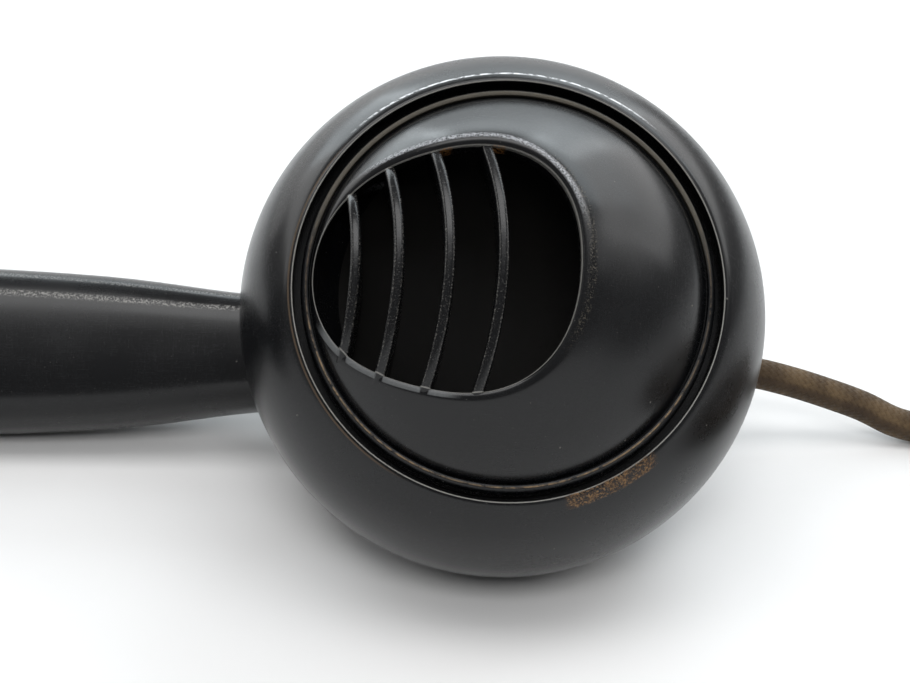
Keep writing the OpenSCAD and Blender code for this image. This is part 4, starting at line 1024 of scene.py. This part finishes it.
# ------------------------------------------------------------------ ear cap
CAP_H, CAP_CREST_R, DISH_R, CAP_T, CAP_ROUND = 8.4, 22.5, 80, 2.4, 6.2
cap_under, cap_crest = EAR_RIM + EAR_WASHER_T + WASHER_GAP, EAR_RIM + CAP_H
cap_edge_r = EAR_R - EAR_SHOULDER_R + math.sqrt(EAR_SHOULDER_R ** 2 - cap_under ** 2)
dish_mid = math.sqrt(DISH_R ** 2 - CAP_CREST_R ** 2)
dish_floor = cap_crest - (DISH_R - dish_mid)
EAR_SKIRT_R, EAR_SKIRT_IN_R, EAR_SKIRT_END = 24.92, 22.72, -3.7
dish = [(r, cap_crest + dish_mid - math.sqrt(DISH_R ** 2 - r * r)) for r in np.linspace(CAP_CREST_R, 0, 24)]
CAP_HOLLOW_R = 20
cap = turned("ear_cap", [(0, dish_floor - CAP_T), (CAP_HOLLOW_R, dish_floor - CAP_T),
                         (CAP_HOLLOW_R, cap_under + 0.6)]
             + [(EAR_SKIRT_IN_R, cap_under), (EAR_SKIRT_IN_R, EAR_SKIRT_END), (EAR_SKIRT_R, EAR_SKIRT_END),
                (EAR_SKIRT_R, cap_under), (cap_edge_r - 0.3, cap_under), (cap_edge_r, cap_under + 0.3)]
             + arc((cap_edge_r - CAP_ROUND, cap_crest - CAP_ROUND), CAP_ROUND, 0, 84, 16)
             + [(CAP_CREST_R + 0.4, cap_crest - 0.02)] + dish[1:], 144)
SOUND_HOLE_R, SOUND_RING_R, SOUND_RING_HOLES = 1.6, 6, 6
hole_places = [(0, 0)] + [(SOUND_RING_R * math.cos(a), SOUND_RING_R * math.sin(a))
                          for a in (k * TURN / SOUND_RING_HOLES for k in range(SOUND_RING_HOLES))]
holes = [bar("hole", (x, y, 0), (x, y, cap_crest + CUT_PAST), SOUND_HOLE_R, 32) for x, y in hole_places]
combine(cap, holes, "DIFFERENCE")
ear_cap = smooth(settle(cap, ear_frame), 35)
dress(ear_cap, ear_finish, "ear_cap", "ear_cap_phenolic", "ear_cap")

# ------------------------------------------------------------------ bush at the cord's exit
BUSH_SEAT, BUSH_SEAT_R = 5.9, 3.95          # the part of the bush inside the neck
bush = turned("cord_bush", rounded([
    (CORD_R, NECK_END - BUSH_SEAT), (BUSH_SEAT_R, NECK_END - BUSH_SEAT, 0.3),
    (BUSH_SEAT_R, NECK_END + 0.02),
    (5, NECK_END + 0.02, 0.3), (4.7, NECK_END + 1.2, 0.2), (4.2, NECK_END + 1.4, 0.2),
    (4.1, NECK_END + 2.2, 0.2), (3.8, NECK_END + 2.4, 0.2), (CORD_R + 0.95, NECK_END + BUSH_OUT, 0.4),
    (CORD_R, NECK_END + BUSH_OUT), (CORD_R, NECK_END - BUSH_SEAT)], 3), 48)
smooth(settle(bush, neck_frame), 40)
dress(bush, rubber, "handset", "black_rubber", "cord_bush")

# ------------------------------------------------------------------ table, light and view
bpy.ops.object.select_all(action="DESELECT")
bpy.ops.mesh.primitive_plane_add(size=6, location=(0, 0, 0))
table = bpy.context.object
table.name = "table"
paper = Finish("table_white", specular_ior_level=0.3)
spot = paper.place()
far_x, far_y, _ = paper.split(spot)
pale = paper.mix(paper.noise(spot, 0.02, 3), (0.6, 0.6, 0.6), (0.64, 0.64, 0.64))
# Painted shade: the table turns darker from 280 to 750 mm out from its middle.
far = paper.fade((far_x * far_x + far_y * far_y) ** 0.5, 280, 750)
paper.set("Base Color", paper.mix(far * 0.6, pale, (0.3, 0.3, 0.3)))
paper.set("Roughness", paper.spread(paper.noise(spot, 0.5, 2), 0.5, 0.65))
table.data.materials.append(paper.material)


def soft_light(name, place, aim, size, power, colour=(1, 1, 1)):
    bpy.ops.object.light_add(type="AREA", location=place)
    lamp = bpy.context.object
    lamp.name = name
    lamp.rotation_euler = (Vector(place) - Vector(aim)).to_track_quat("Z", "Y").to_euler()
    lamp.data.shape = "RECTANGLE"
    lamp.data.size, lamp.data.size_y = size
    lamp.data.energy = power
    lamp.data.color = colour
    return lamp


def panel(name, azimuth, low, high, width, radiance, colour=(1, 1, 1)):
    """A soft panel that covers a patch of the surroundings, in degrees as seen from the cup."""
    azimuth, low, high, width = (math.radians(a) for a in (azimuth, low, high, width))
    raised = (low + high) / 2
    toward = Vector((math.sin(azimuth) * math.cos(raised), math.cos(azimuth) * math.cos(raised),
                     math.sin(raised)))
    size = [2 * PANEL_DISTANCE * math.tan(angle / 2) for angle in (width, high - low)]
    return soft_light(name, mouth_origin + toward * PANEL_DISTANCE, mouth_origin, size,
                      radiance * math.pi * size[0] * size[1], colour)


def overhead(name, front, back, width, height, radiance):
    """A soft panel that faces down, from one Y to another."""
    return soft_light(name, (0, (front + back) / 2, height), (0, (front + back) / 2, 0),
                      (width, back - front), radiance * math.pi * width * (back - front))


PANEL_DISTANCE, COOL = 1.5, (0.88, 0.96, 1)
panel("back", 5, 27, 38, 50, 3.4, COOL)
panel("back, low", 5, 14, 27, 50, 1.1, COOL)
panel("back left", -32, 16, 36, 24, 3.6, COOL)
panel("left", -66, 14, 30, 44, 1.9)
panel("back right, high", 40, 34, 60, 44, 3, COOL)
panel("back right, low", 55, 14, 34, 50, 2.0)
panel("right", 92, 20, 42, 24, 1.1)
panel("low back", -18, 0, 15, 76, 0.9)
overhead("overhead", -0.39, 0.21, 1.6, 1.2, 4)
overhead("overhead, front", -0.74, -0.39, 1.2, 1.2, 1.1)
fill = soft_light("front fill", (0.05, -0.87, 0.93), mouth_origin, (0.55, 0.4), 9)
fill.visible_glossy = False
world = bpy.data.worlds.new("studio")
world.use_nodes = True
world.node_tree.nodes["Background"].inputs["Color"].default_value = (1, 1, 1, 1)
world.node_tree.nodes["Background"].inputs["Strength"].default_value = 0.25
bpy.context.scene.world = world
bpy.context.scene.view_settings.view_transform = "Standard"
